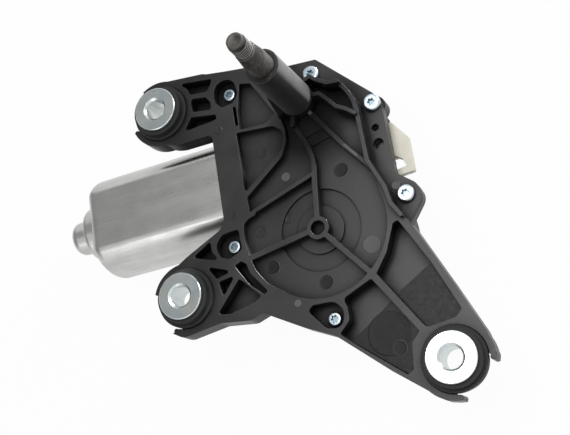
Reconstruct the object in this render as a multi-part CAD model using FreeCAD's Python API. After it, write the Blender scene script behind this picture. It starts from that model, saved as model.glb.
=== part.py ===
import FreeCAD, Part
import math
import os

# Rear wiper motor, millimetres. Origin: output shaft axis at the plane of the three bush flanges.
# +Z runs out along the output shaft, +X runs along the armature away from the motor can.

V = FreeCAD.Vector
os.makedirs("parts", exist_ok=True)

# Heights along the output shaft
MOUNT_Z = 0.0
LAND_Z = -6.5
POCKET_Z = -10.2
SEAT_Z = -12.0
LID_INNER_Z = -12.6
SPLIT_Z = -15.0
ARM_FLOOR_Z = -13.0
GASKET_T = 0.6
CASE_FLANGE_T = 2.6
CASE_FLOOR_T = 2.0
CASE_WALL = 2.4
REST_Z = -48.5
FOOT_H = 1.0

# Axes in plan
HUB = (-1.0, -58.0)
MOTOR_Y = -24.0
MOTOR_Z = -30.0

# Output shaft and its tube
SHAFT_R = 5.2
SHAFT_TIP_Z = 57.5
THREAD_R = 4.0
THREAD_ROOT_R = 3.45
THREAD_PITCH = 1.25
THREAD_START_Z = 48.0
TAPER_START_Z = 39.7
TAPER_TOP_R = 4.4
TAPER_BASE_R = 5.3
KNURLS = 36
KNURL_DEPTH = 0.3
TUBE_R = 7.4
TUBE_LOW_R = 7.55
TUBE_SEAT_Z = 20.0
TUBE_EASE = 4.0
TUBE_BASE_R = 8.4
TUBE_TOP_Z = 32.3
TUBE_STRAIGHT_Z = -4.0
BUSH_WALL = 1.0
SHAFT_BUSH_LEN = 14.0
RUN = 0.04
SEAL_T = 3.0
SPIGOT_R = 4.0

# Mounting bushes, grommets and cradles
BUSH_PLACES = {
    "upper_left": (-65.1, 14.7),
    "lower_left": (-64.2, -73.0),
    "lower_right": (43.6, -122.8),
}
CRADLE_MOUTH = {"upper_left": 160.0, "lower_left": 200.0, "lower_right": -51.0}
BUSH_FLANGE_R = 10.0
BUSH_FLANGE_T = 2.0
BUSH_BORE_R = 4.5
BUSH_OUT_R = 6.0
BUSH_LEN = 13.0
BUSH_CHAMFER = 0.9
GROMMET_TOP_R = 11.5
GROMMET_R = 12.9
GROMMET_STEP_Z = -5.2
GROMMET_WAIST_R = 9.0
GROMMET_LOW_R = 12.0
CRADLE_IN_R = 13.2
CRADLE_OUT_R = 15.6
TONGUE_TOP_Z = -8.0
TONGUE_T = 3.0
SOFT_GAP = 0.3
MOUTH_HALF = 9.8
HORN_ROUND = 1.1

# Case screws
OUTER_SCREWS = [(6.5, 12.2), (30.6, -9.4), (37.0, -52.4)]
POCKET_SCREWS = [(-32.4, 14.8), (-40.5, -55.2), (-1.6, -96.2)]
OUTER_HEAD_R = 3.75
POCKET_HEAD_R = 3.1
HEAD_H = 2.3
SCREW_R = 1.75
SCREW_LEN = 9.0
SCREW_BOSS_R = 4.6
SCREW_BOSS_DROP = 1.5
TORX_R = 1.75
TORX_DEPTH = 1.5

# Motor can
CAN_ARC_R = 22.5
CAN_ARC_OFF = 1.4
CAN_PRESSED = 4.0
CAN_FLAT = CAN_ARC_R - CAN_PRESSED
CAN_WALL = 1.4
CAN_MOUTH_X = -42.3
CAN_END_X = -112.6
CAN_END_ROUND = 5.5
CAN_FOLD_R = 5.0
CAN_RIM_T = 1.2
CAN_RIM_OUT = 0.8
END_BOSS = [(13.0, 7.0), (8.0, 9.9)]
END_BOSS_ROUND = (2.6, 4.0)
SPIGOT_LEN = 4.0
SPIGOT_WALL = 2.0
COLLAR_OUT = 1.2
COLLAR_RECESS_R = 17.0

# Armature and worm drive
ARM_SHAFT_R = 3.0
MODULE_W = 1.0
WHEEL_TEETH = 56
WORM_R = 6.0
WORM_LEN = 16.0
WHEEL_W = 9.0
WORM_BACKLASH = 0.30
AXLE_R = 4.0
BEARING_R = 7.0
THRUST_X = 12.5
THRUST_LEN = 7.0
CLIP_T = 0.8

# Sector drive
MODULE_S = 1.25
PINION_TEETH = 12
SECTOR_TEETH = 20
SECTOR_BACKLASH = 0.24
CRANK_R = 8.0
LINK_OVER = 0.4914
LINK_LEN = math.hypot(*HUB) + LINK_OVER
LINK_TOP_Z = -37.8
LINK_T = 3.8
ROCKER_T = 2.0
PLATE_GAP = 0.2
LINK_HALF_W = 4.5
SECTOR_MARGIN = 22.0
CRANK_PIN_R = 2.5
ROCKER_PIN_R = 2.5
ROCKER_W = 9.0
ROCKER_EYE_R = 7.5
ROCKER_TIP_R = 5.6
LINK_EYE_R = 6.0
WHEEL_HUB_R = 8.0
WHEEL_RIM_T = 3.25
WEB_DEPTH = 5.0
WEB_R = MODULE_W * (WHEEL_TEETH / 2 - 1.25) - WHEEL_RIM_T
TRACK_T = 0.6
TRACK_EDGE = 1.5
TRACK_INNER = 3.0


def save(shape, name):
    shape.exportStep("parts/%s.step" % name)


def disc(place, r, z0, z1):
    return Part.makeCylinder(r, z1 - z0, V(place[0], place[1], z0))


def along_x(r, x0, x1, y=MOTOR_Y, z=MOTOR_Z):
    return Part.makeCylinder(r, x1 - x0, V(x0, y, z), V(1, 0, 0))


def block(x0, x1, y0, y1, z0, z1):
    return Part.makeBox(x1 - x0, y1 - y0, z1 - z0, V(x0, y0, z0))


def fuse(shapes):
    first, rest = shapes[0], shapes[1:]
    if not rest:
        return first
    return first.fuse(rest).removeSplitter()


def cut(shape, tools):
    return shape.cut(tools).removeSplitter() if tools else shape


def rounded_wire(points, radius, z=0.0):
    """Closed wire through the points, each corner an arc of the radius or the largest that fits."""
    n = len(points)
    pts = [V(p[0], p[1], z) for p in points]
    starts, arcs = [], []
    for i in range(n):
        a, b, c = pts[i - 1], pts[i], pts[(i + 1) % n]
        r = points[i][2] if len(points[i]) > 2 else radius
        u, w = (a - b), (c - b)
        room = 0.48 * min(u.Length, w.Length)
        u.normalize()
        w.normalize()
        half = 0.5 * u.getAngle(w)
        if r < 0.05 or half > 1.55:
            starts.append((b, b))
            arcs.append(None)
            continue
        back = min(r / math.tan(half), room)
        r = back * math.tan(half)
        p, q = b + u * back, b + w * back
        mid = b + (u + w).normalize() * (r / math.sin(half) - r)
        starts.append((p, q))
        arcs.append(Part.Arc(p, mid, q))
    edges = []
    for i in range(n):
        if arcs[i]:
            edges.append(arcs[i].toShape())
        p, q = starts[i][1], starts[(i + 1) % n][0]
        if (q - p).Length > 1e-6:
            edges.append(Part.makeLine(p, q))
    return Part.Wire(edges)


def plate(points, z0, z1, radius=0.0):
    face = Part.Face(rounded_wire(points, radius, z0))
    return face.extrude(V(0, 0, z1 - z0))


def rib(points, width, z0, z1):
    """Upright wall of even width along a line of points."""
    parts = []
    for (xa, ya), (xb, yb) in zip(points, points[1:]):
        length = math.hypot(xb - xa, yb - ya)
        wall = Part.makeBox(length, width, z1 - z0, V(0, -width / 2, z0))
        wall.rotate(V(0, 0, 0), V(0, 0, 1), math.degrees(math.atan2(yb - ya, xb - xa)))
        wall.translate(V(xa, ya, 0))
        parts.append(wall)
    for x, y in points:
        parts.append(disc((x, y), width / 2, z0, z1))
    return fuse(parts)


def polar(place, r, degrees):
    t = math.radians(degrees)
    return (place[0] + r * math.cos(t), place[1] + r * math.sin(t))


def sector_plate(place, r, first, last, z0, z1):
    """Pie slice between two angles, its tip at place."""
    mid = 0.5 * (first + last)
    a, m, b = [V(*polar(place, r, t), z0) for t in (first, mid, last)]
    tip = V(place[0], place[1], z0)
    wire = Part.Wire([Part.makeLine(tip, a), Part.Arc(a, m, b).toShape(), Part.makeLine(b, tip)])
    return Part.Face(wire).extrude(V(0, 0, z1 - z0))


def tooth_profile(teeth, module, pressure, thin, add=1.0, ded=1.25, steps=3):
    """Points of one tooth centred on angle 0, as (radius, angle) from root to root."""
    pitch = teeth * module / 2
    base = pitch * math.cos(pressure)
    tip = pitch + add * module
    root = pitch - ded * module
    half = math.pi / (2 * teeth) - thin / (4 * pitch)
    inv = math.tan(pressure) - pressure
    low = max(root, base)
    side = []
    for i in range(steps + 1):
        r = low + (tip - low) * i / steps
        a = math.acos(min(1.0, base / r))
        side.append((r, half + inv - (math.tan(a) - a)))
    if root < low:
        side.insert(0, (root, side[0][1]))
    left = [(r, -t) for r, t in side]
    right = [(r, t) for r, t in reversed(side)]
    return left + right


def gear_wire(place, teeth, module, pressure, thin, z, turn=0.0, add=1.0, ded=1.25):
    """Closed outline of a whole toothed wheel, its first tooth at the angle turn in degrees."""
    one = tooth_profile(teeth, module, pressure, thin, add, ded)
    pts = []
    for k in range(teeth):
        centre = math.radians(turn) + 2 * math.pi * k / teeth
        for r, t in one:
            pts.append(V(place[0] + r * math.cos(centre + t), place[1] + r * math.sin(centre + t), z))
    pts.append(pts[0])
    return Part.makePolygon(pts)


def torx(place, z, depth, r=TORX_R):
    """Six-lobed socket, cut down from z."""
    lobes = [disc(place, 0.74 * r, z - depth, z)]
    for k in range(6):
        lobes.append(disc(polar(place, 0.72 * r, 60 * k), 0.28 * r, z - depth, z))
    return fuse(lobes)


# Outlines in plan. The third number of a point is its own corner radius.
BODY = [
    (-42.0, 26.8, 2), (-31.4, 24.8, 4), (-2.9, 20.2, 1), (9.4, 19.0, 1.5), (31.5, -4.6, 4),
    (34.3, -9.0, 3), (34.0, -41.8, 2), (41.8, -48.6, 5), (44.0, -54.5, 6), (36.5, -64.0, 2),
    (22.0, -88.0, 4), (4.0, -104.5, 8), (-9.0, -99.5, 10), (-29.0, -85.5, 6), (-44.5, -64.0, 6),
    (-48.5, -54.0, 6), (-42.0, -46.6, 3),
]
UPPER_ARM = [
    (-42.0, -9.0, 0), (-42.0, -3.0, 2), (-64.0, -2.6, 16), (-80.7, 14.7, 0), (-79.0, 21.0, 0),
    (-70.8, 28.2, 9), (-63.7, 29.9, 12), (-42.5, 27.3, 2), (-37.5, 25.3, 1), (-31.4, 24.8, 0),
    (-31.4, -9.0, 0),
]
LOWER_ARM = [
    (-42.0, -44.2, 3), (-44.8, -47.4, 4), (-61.7, -55.1, 3), (-72.8, -61.2, 10), (-78.6, -68.5, 8),
    (-79.6, -76.0, 0), (-73.5, -86.0, 3), (-68.0, -89.6, 6), (-50.0, -87.3, 5), (-36.5, -89.2, 4),
    (-28.0, -86.5, 0), (-28.0, -41.0, 0),
]
RIGHT_ARM = [
    (33.0, -58.0, 0), (38.7, -68.9, 0), (49.3, -94.2, 0), (57.4, -114.3, 9), (59.6, -124.0, 3),
    (56.5, -130.0, 3), (46.0, -138.0, 3), (37.6, -137.6, 4), (19.1, -122.4, 9), (-1.1, -103.8, 9),
    (-13.2, -97.7, 9), (-30.4, -87.4, 0), (-20.0, -70.0, 0),
]

POCKETS_SHALLOW = {
    "beside_tube": [(-28.4, 3.0), (-25.6, 16.6), (-20.5, 15.2), (-11.4, -2.4), (-15.3, -6.0, 5), (-28.6, -5.0)],
    "quarter": [(-30.4, -5.9), (-13.0, -7.9, 4), (-9.2, -11.4, 4), (-10.0, -19.5, 7), (-30.4, -34.0)],
    "wedge": [(-29.9, -36.4), (-11.4, -22.9, 5), (-8.2, -16.0, 5), (-7.9, -11.0, 3), (-9.2, -4.4), (-2.0, -2.0),
              (-1.6, -8.0), (-3.6, -11.8), (0.3, -20.2), (2.0, -29.0), (1.6, -35.0), (-29.6, -44.2)],
    "hub_left": [(-30.6, -45.8, 1), (-33.2, -47.6, 2), (-33.9, -54.6, 12), (-32.6, -62.0), (-12.0, -58.0),
                 (-10.0, -40.0)],
    "hub_low": [(-32.4, -63.6, 0.5), (-30.8, -68.8, 8), (-26.8, -75.0, 8), (-20.6, -80.6, 8), (-10.0, -78.0),
                (-12.0, -60.0)],
}
POCKETS_ARM = {
    "upper_top": [(-55.0, 26.2), (-38.0, 23.4), (-39.6, 20.4), (-41.6, 17.9), (-49.8, 19.2), (-51.0, 22.6)],
    "upper_mid": [(-49.4, 17.0), (-42.4, 15.6), (-40.4, 12.2), (-40.7, 8.7), (-49.6, 10.5), (-50.1, 14.2)],
    "upper_low": [(-55.2, 2.6), (-50.8, 8.3), (-38.8, 5.9), (-38.6, 3.5), (-41.8, 3.0)],
    "lower_top": [(-59.2, -56.2), (-49.6, -50.9), (-49.6, -55.9), (-46.4, -60.7)],
    "lower_mid": [(-53.4, -61.5), (-41.4, -66.5), (-49.1, -68.2)],
    "lower_small": [(-48.4, -69.6), (-40.4, -68.5), (-47.2, -76.8)],
    "lower_long": [(-50.9, -83.3), (-38.9, -70.4), (-30.0, -80.2), (-33.6, -82.2), (-45.2, -84.5)],
    "hub_side": [(-40.2, -64.6), (-36.9, -63.2), (-34.8, -65.0), (-33.5, -69.6), (-26.7, -79.0),
                 (-28.7, -79.8), (-34.6, -74.1)],
    "right_long": [(30.4, -64.6), (32.6, -63.8), (42.3, -84.1), (50.2, -104.6), (47.4, -107.2, 2),
                   (35.4, -108.6, 2), (19.4, -83.6), (25.6, -75.6)],
    "right_left": [(17.3, -84.5), (32.4, -109.4), (28.6, -113.0, 2), (27.1, -123.4), (24.6, -124.8),
                   (9.0, -111.3, 9), (0.6, -103.4), (5.6, -98.8, 3), (5.6, -93.4, 3), (4.4, -89.8, 2)],
}
SCREW_POCKETS = {
    "upper": [(-35.6, 8.0, 1.5), (-38.8, 12.0, 5), (-37.6, 20.4, 5), (-28.4, 21.0, 5), (-26.8, 12.0, 5),
              (-30.0, 8.6, 3)],
    "lower": [(-47.8, -54.5, 5), (-44.5, -49.6, 5), (-36.0, -49.0, 1.5), (-35.6, -58.6, 2), (-42.0, -61.2, 2),
              (-46.0, -59.2, 2)],
    "bottom": [(-11.2, -91.2, 2), (-8.6, -89.3, 2), (0.6, -89.8, 5), (4.4, -94.6, 5), (2.0, -101.2, 5),
               (-4.4, -100.0, 4)],
}
GEAR_ROOM = [
    (-37.5, -48.0, 2), (-37.5, 3.0, 3), (-27.0, 3.0, 1), (-25.8, 18.2, 2), (-9.0, 18.2, 1), (0.5, 14.6, 1),
    (2.5, 6.0, 1), (12.0, 2.0, 3), (23.6, -9.0, 3), (23.6, -42.0, 2), (16.0, -50.0, 2),
]
WHEEL_ROOM_GAP = 1.4
WHEEL_ROOM_R = MODULE_W * (WHEEL_TEETH / 2 + 1) + WHEEL_ROOM_GAP
PINION_ROOM_R = 9.2
BODY_LEFT_X = -42.0
FLANGE_HOLES = [((29.7, -20.3), 1.6), ((29.7, -27.6), 2.3)]
PIN_HOLE = ((42.2, -97.5), 0.7)


def gear_room(z0, z1, grow=0.0):
    """Hollow for the gears: a rounded polygon with the round rooms of the wheel and the pinion."""
    face = Part.Face(rounded_wire(GEAR_ROOM, 2.0, z0))
    if grow:
        face = face.makeOffset2D(grow)
    return [
        face.extrude(V(0, 0, z1 - z0)),
        disc(HUB, WHEEL_ROOM_R + grow, z0, z1),
        disc((0, 0), PINION_ROOM_R + grow, z0, z1),
    ]


# Front housing: one moulding with the three arms, the shaft tube and the ribs
DOME_R = 29.6
RING_ROOM = (10.3, 17.7)
RING_FLOOR_Z = -11.2
RIB_W = 2.3
CURVED_RIB_W = 1.9
THIN_RIB_W = 1.6
TALL_RIB_Z = -1.0
TALL_WALL_Z = -4.0
RIGHT_FIELD = [
    (-1.6, -4.0), (-3.4, -10.5), (-2.5, -13.9), (0.3, -20.2), (2.0, -27.0), (2.0, -31.2), (1.0, -44.0), (-1.5, -47.0),
    (24.0, -60.0), (27.4, -50.0), (27.3, -42.0), (25.3, -36.4), (25.1, -14.5), (24.6, -8.6), (22.6, -3.4),
    (19.6, 1.0), (13.6, 2.0), (9.6, 5.2), (4.0, 4.0),
]
STEPS_BY_TUBE = [
    ([(-3.4, -11.5), (0.0, -7.0), (3.6, -6.6), (8.6, -14.9), (-1.0, -17.2)], -8.6),
    ([(-1.0, -17.2), (8.6, -14.9), (10.9, -19.0), (1.2, -21.4)], -9.4),
]
DRAIN_SLOT = [(-30.4, 6.6), (-28.8, 6.6), (-28.8, -2.6), (-30.4, -2.6)]
FLANGE_EDGE = [
    (13.6, 2.0), (19.6, 1.0), (22.6, -3.4), (24.6, -8.6), (25.1, -14.5), (25.5, -36.4), (27.5, -41.4),
    (30.5, -49.4), (31.5, -56.6), (34.8, -62.6),
]


def flange_step():
    """Room over the low right flange, outside the line of the tall wall."""
    outer = [(60.0, -59.0), (60.0, 30.0), (-3.6, 30.0), (-3.6, 19.4), (3.0, 7.6)]
    return plate([(x, y, 0) for x, y in FLANGE_EDGE + [(39.5, -66.5)] + outer], SEAT_Z, 5.0)


def cradle_mouth(name, half, z0, z1):
    """Slot out of a cradle through which its grommet is pushed in."""
    place = BUSH_PLACES[name]
    turn = CRADLE_MOUTH[name]
    slot = block(0, CRADLE_OUT_R + 6, -half, half, z0, z1)
    slot.rotate(V(0, 0, 0), V(0, 0, 1), turn)
    slot.translate(V(place[0], place[1], 0))
    return slot


def front_housing():
    outlines = [plate(points, SPLIT_Z, LAND_Z) for points in (BODY, UPPER_ARM, LOWER_ARM, RIGHT_ARM)]
    body = fuse(outlines + [disc(p, CRADLE_OUT_R, SPLIT_Z, LAND_Z) for p in BUSH_PLACES.values()])
    away = [flange_step(), disc(HUB, DOME_R, POCKET_Z, 0), plate(RIGHT_FIELD, POCKET_Z, 0, 1.5)]
    for points in POCKETS_SHALLOW.values():
        away.append(plate(points, POCKET_Z, 0, 0.8))
    for points in POCKETS_ARM.values():
        away.append(plate(points, ARM_FLOOR_Z, 0, 0.9))
    for points in SCREW_POCKETS.values():
        away.append(plate(points, SEAT_Z, 0))
    away.append(plate(DRAIN_SLOT, SEAT_Z, 0, 0.7))
    ring_in, ring_out = RING_ROOM
    away.append(disc(HUB, ring_out, RING_FLOOR_Z, 0).cut(disc(HUB, ring_in, RING_FLOOR_Z, 0)))
    body = cut(body, away)
    body = fuse([body] + hub_ribs() + tube_walls())
    inside = gear_room(SPLIT_Z, LID_INNER_Z)
    holes = [disc(s, SCREW_R + 0.25, -40, 5) for s in OUTER_SCREWS + POCKET_SCREWS]
    holes += [disc(place, r, -40, 0) for place, r in FLANGE_HOLES + [PIN_HOLE]]
    holes.append(disc((0, 0), SHAFT_R + BUSH_WALL, -60, TUBE_TOP_Z + 5))
    holes.append(disc(HUB, 3.1, SEAT_Z + 2.0, 0))
    body = cut(body, inside)
    boss = disc(HUB, WHEEL_HUB_R, MOTOR_Z + WHEEL_W / 2 + PLATE_GAP, LID_INNER_Z)
    body = fuse([body, boss])
    holes.append(disc((0, 0), TUBE_LOW_R, TUBE_STRAIGHT_Z, TUBE_TOP_Z))
    body = cut(body, holes + [disc(HUB, AXLE_R, -60, SEAT_Z + 0.5)])
    return cradles(body)


def hub_ribs():
    """Boss over the wheel axle with its ribs, and the small steps between them at the tube's foot."""
    x, y = HUB
    up = [(x, y), (0.9, -39.5), (2.0, -31.2)]
    curved = [(2.0, -31.2), (2.0, -27.0), (0.3, -20.2), (-2.5, -13.9), (-4.0, -10.4)]
    across = [(-30.4, -44.2), (1.2, -34.3)]
    left = [(x, y), (-33.5, -63.2)]
    down = [(x, y), (18.6, -83.2), (34.4, -109.4)]
    ribs = [rib(line, RIB_W, LID_INNER_Z, LAND_Z) for line in (up, left, down)]
    ribs.append(rib(down[1:], RIB_W, ARM_FLOOR_Z, LAND_Z))
    ribs.append(rib(curved, CURVED_RIB_W, LID_INNER_Z, LAND_Z))
    ribs.append(rib(across, THIN_RIB_W, LID_INNER_Z, LAND_Z))
    ribs.append(disc(HUB, 4.9, LID_INNER_Z, LAND_Z))
    for points, top in STEPS_BY_TUBE:
        ribs.append(plate(points, LID_INNER_Z, top))
    return ribs


def tube_gusset():
    """Triangular web down the lower left side of the shaft tube."""
    gusset = Part.Face(Part.makePolygon([
        V(-TUBE_R + 0.6, 0, TUBE_SEAT_Z), V(-TUBE_R - 3.6, 0, LAND_Z), V(-TUBE_R - 3.6, 0, LID_INNER_Z),
        V(-TUBE_R + 0.6, 0, LID_INNER_Z), V(-TUBE_R + 0.6, 0, TUBE_SEAT_Z)])).extrude(V(0, 1.6, 0))
    gusset.translate(V(0, -0.8, 0))
    gusset.rotate(V(0, 0, 0), V(0, 0, 1), 28)
    return gusset


def shaft_tube():
    """Tube round the output shaft; its slimmer upper end is the seat of the vehicle's seal."""
    ease_z = TUBE_SEAT_Z - TUBE_EASE
    body = fuse([
        disc((0, 0), TUBE_LOW_R, TUBE_STRAIGHT_Z, ease_z),
        Part.makeCone(TUBE_LOW_R, TUBE_R, TUBE_EASE, V(0, 0, ease_z)),
        disc((0, 0), TUBE_R, TUBE_SEAT_Z, TUBE_TOP_Z),
    ])
    body = fuse([body, tube_gusset().common(disc((0, 0), 20, TUBE_STRAIGHT_Z, TUBE_TOP_Z))])
    return body.cut(disc((0, 0), SHAFT_R + BUSH_WALL, -60, TUBE_TOP_Z + 5))


def tube_walls():
    """Foot of the shaft tube and the tall thin walls beside it."""
    walls = [Part.makeCone(TUBE_BASE_R, TUBE_LOW_R, TUBE_STRAIGHT_Z - LID_INNER_Z, V(0, 0, LID_INNER_Z))]
    near_tube = [(4.0, 4.6), (8.6, 6.6), (10.6, 4.5), (15.2, 1.2), (20.0, 0.6)]
    walls.append(rib(near_tube, 1.6, LID_INNER_Z, TALL_RIB_Z))
    walls.append(rib([(4.2, -0.8), (11.1, -1.8), (13.1, -4.2), (17.1, -9.7), (21.1, -12.2), (24.6, -15.2)],
                     1.6, LID_INNER_Z, TALL_RIB_Z - 1.5))
    walls.append(rib(FLANGE_EDGE, 1.8, LID_INNER_Z, TALL_WALL_Z))
    walls.append(rib([(3.9, -6.4), (11.0, -17.4), (16.0, -25.5), (23.1, -34.8), (27.3, -41.0)],
                     1.8, LID_INNER_Z, LAND_Z))
    walls.append(rib([(-2.1, -6.8), (-3.5, -11.6)], 1.6, LID_INNER_Z, LAND_Z + 3.0))
    walls.append(tube_gusset().common(disc((0, 0), 20, LID_INNER_Z, TUBE_STRAIGHT_Z)))
    return walls


def cradles(body):
    """Open hooks that clasp the waists of the rubber grommets."""
    for name, place in BUSH_PLACES.items():
        mouth = cradle_mouth(name, MOUTH_HALF, -60, 60)
        body = body.cut([disc(place, CRADLE_IN_R, -60, 60), mouth])
        tongue = disc(place, CRADLE_IN_R + 0.6, TONGUE_TOP_Z - TONGUE_T, TONGUE_TOP_Z)
        tongue = tongue.cut([disc(place, GROMMET_WAIST_R + SOFT_GAP, -60, 60), mouth])
        tips = []
        half = math.degrees(math.asin(MOUTH_HALF / (CRADLE_OUT_R - HORN_ROUND)))
        for side in (-1, 1):
            tip = polar(place, CRADLE_OUT_R - HORN_ROUND, CRADLE_MOUTH[name] + side * half)
            tips.append(disc(tip, HORN_ROUND, SPLIT_Z, LAND_Z))
        body = body.fuse([tongue] + tips)
    return body.removeSplitter()


def grommet(place):
    low = MOUNT_Z - BUSH_LEN + 0.2
    body = fuse([
        disc(place, GROMMET_R, TONGUE_TOP_Z + SOFT_GAP, GROMMET_STEP_Z),
        disc(place, GROMMET_TOP_R, GROMMET_STEP_Z, MOUNT_Z - BUSH_FLANGE_T - 0.05),
        disc(place, GROMMET_WAIST_R, TONGUE_TOP_Z - TONGUE_T - SOFT_GAP, TONGUE_TOP_Z + SOFT_GAP),
        disc(place, GROMMET_LOW_R, low, TONGUE_TOP_Z - TONGUE_T - SOFT_GAP),
    ])
    return body.cut(disc(place, BUSH_OUT_R, low - 1, 1))


def bush(place):
    body = fuse([
        disc(place, BUSH_FLANGE_R, MOUNT_Z - BUSH_FLANGE_T, MOUNT_Z),
        disc(place, BUSH_OUT_R, MOUNT_Z - BUSH_LEN, MOUNT_Z),
    ])
    lead = Part.makeCone(BUSH_BORE_R, BUSH_BORE_R + BUSH_CHAMFER, BUSH_CHAMFER,
                         V(place[0], place[1], MOUNT_Z - BUSH_CHAMFER))
    body = body.cut([disc(place, BUSH_BORE_R, -60, 10), lead])
    edge = [e for e in body.Edges if abs(e.BoundBox.ZMin - MOUNT_Z) < 0.01 and
            e.BoundBox.XLength > 2 * BUSH_FLANGE_R - 0.1]
    return body.makeChamfer(0.3, edge)


def screws(places, head_r):
    """Pan-head screws with a six-lobed socket, seated on the flange."""
    made = []
    for place in places:
        head = disc(place, head_r, SEAT_Z, SEAT_Z + HEAD_H)
        top = [e for e in head.Edges if abs(e.BoundBox.ZMin - SEAT_Z - HEAD_H) < 0.01]
        head = head.makeFillet(1.0, top)
        shank = disc(place, SCREW_R, SEAT_Z - SCREW_LEN, SEAT_Z)
        made.append(fuse([head, shank]).cut(torx(place, SEAT_Z + HEAD_H, TORX_DEPTH)))
    return Part.makeCompound(made)


def can_section(shrink):
    """Flat-sided round section of the can in the YZ plane, centred on the armature axis."""
    r = CAN_ARC_R - shrink
    h = CAN_FLAT - shrink
    f = CAN_FOLD_R - shrink
    across = math.sqrt((r - f) ** 2 - (h - f) ** 2)
    half = CAN_ARC_OFF + across
    reach = CAN_ARC_OFF + r
    side_y = CAN_ARC_OFF + across * r / (r - f)
    side_z = (h - f) * r / (r - f)
    bend = math.radians(45.0) + 0.5 * math.atan2(h - f, across)
    mid_y, mid_z = half + f * math.cos(bend), h - f + f * math.sin(bend)
    lines = []
    for s in (1, -1):
        top, side, mid = V(0, s * half, s * h), V(0, s * side_y, s * side_z), V(0, s * mid_y, s * mid_z)
        low_side, low = V(0, s * side_y, -s * side_z), V(0, s * half, -s * h)
        low_mid = V(0, s * mid_y, -s * mid_z)
        lines += [
            Part.Arc(top, mid, side).toShape(), Part.Arc(side, V(0, s * reach, 0), low_side).toShape(),
            Part.Arc(low_side, low_mid, low).toShape(), Part.makeLine(low, V(0, -s * half, -s * h)),
        ]
    wire = Part.Wire(lines)
    face = Part.Face(wire)
    face.translate(V(0, MOTOR_Y, MOTOR_Z))
    return face


def can_prism(shrink, x0, x1):
    face = can_section(shrink)
    face.translate(V(x0, 0, 0))
    return face.extrude(V(x1 - x0, 0, 0))


CASE_TOP = SPLIT_Z - GASKET_T
CASE_LUGS = [((31.4, -33.3), 1.3), ((32.4, -13.8), 1.2)]
LUG_LOW_Z = -25.0


def rear_case():
    """Deep rear half: flange, walls round the gears, motor collar and screw bosses."""
    flange = plate(BODY, CASE_TOP - CASE_FLANGE_T, CASE_TOP)
    parts = [flange] + gear_room(REST_Z + FOOT_H, CASE_TOP, CASE_WALL)
    collar = can_prism(-COLLAR_OUT, CAN_MOUTH_X + 0.3, GEAR_ROOM[0][0] + 0.5)
    below_lid = block(-80, 10, -90, 40, REST_Z, CASE_TOP)
    parts.append(collar.common(below_lid))
    for s in OUTER_SCREWS + POCKET_SCREWS:
        parts.append(disc(s, SCREW_BOSS_R, SEAT_Z - SCREW_LEN - SCREW_BOSS_DROP, CASE_TOP))
        parts.append(rib([s, polar(s, 6.0, boss_turn(s))], 2.2, SEAT_Z - SCREW_LEN, CASE_TOP))
    parts += [disc(place, r, LUG_LOW_Z, CASE_TOP) for place, r in CASE_LUGS]
    for k in range(8):
        end = polar(HUB, WHEEL_ROOM_R, 22.5 + 45 * k)
        parts.append(rib([HUB, end], 2.0, REST_Z, REST_Z + FOOT_H + 1.0))
    parts.append(disc(HUB, 9.0, REST_Z, REST_Z + FOOT_H + 1.0))
    parts.append(rib([(-30.0, -10.0), (14.0, -10.0)], 2.0, REST_Z, REST_Z + FOOT_H + 1.0))
    parts.append(rib([(-8.0, 10.0), (-8.0, -30.0)], 2.0, REST_Z, REST_Z + FOOT_H + 1.0))
    body = fuse(parts)
    floor = REST_Z + FOOT_H + CASE_FLOOR_T
    away = gear_room(floor, 20)
    away += [disc(s, SCREW_R, SEAT_Z - SCREW_LEN - 0.5, 10) for s in OUTER_SCREWS + POCKET_SCREWS]
    away.append(along_x(BEARING_R, CAN_MOUTH_X - 10, -30))
    away.append(along_x(COLLAR_RECESS_R, CAN_MOUTH_X - 10, GEAR_ROOM[0][0] - CASE_WALL))
    away.append(lead_window())
    away.append(connector_tongue(0.0))
    away += [disc(place, r, CASE_TOP - CASE_FLANGE_T - 1.0, 0) for place, r in FLANGE_HOLES]
    body = cut(body, away)
    post = block(THRUST_X, THRUST_X + THRUST_LEN, MOTOR_Y - 6, MOTOR_Y + 6, floor - 0.5, MOTOR_Z + 5.5)
    post = post.cut(along_x(ARM_SHAFT_R + RUN, THRUST_X - 1, THRUST_X + THRUST_LEN - 1.5))
    spigot = can_prism(CAN_WALL, CAN_MOUTH_X - SPIGOT_LEN, CAN_MOUTH_X + 0.4)
    spigot = spigot.cut(can_prism(CAN_WALL + SPIGOT_WALL, CAN_MOUTH_X - SPIGOT_LEN - 1, CAN_MOUTH_X + 1))
    spigot = spigot.cut(block(BODY_LEFT_X - 0.1, 0, -90, 40, CASE_TOP, 0))
    return fuse([body, post, spigot])


def boss_turn(s):
    """Direction from a screw towards the middle of the gear room."""
    return math.degrees(math.atan2(-30.0 - s[1], -5.0 - s[0]))


def case_gasket():
    outer = plate(BODY, CASE_TOP, SPLIT_Z)
    inner = gear_room(-60, 0)
    holes = [disc(s, SCREW_R + 0.25, -60, 5) for s in OUTER_SCREWS + POCKET_SCREWS]
    holes += [disc(place, r, -60, 0) for place, r in FLANGE_HOLES]
    return cut(outer, inner + holes)


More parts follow.
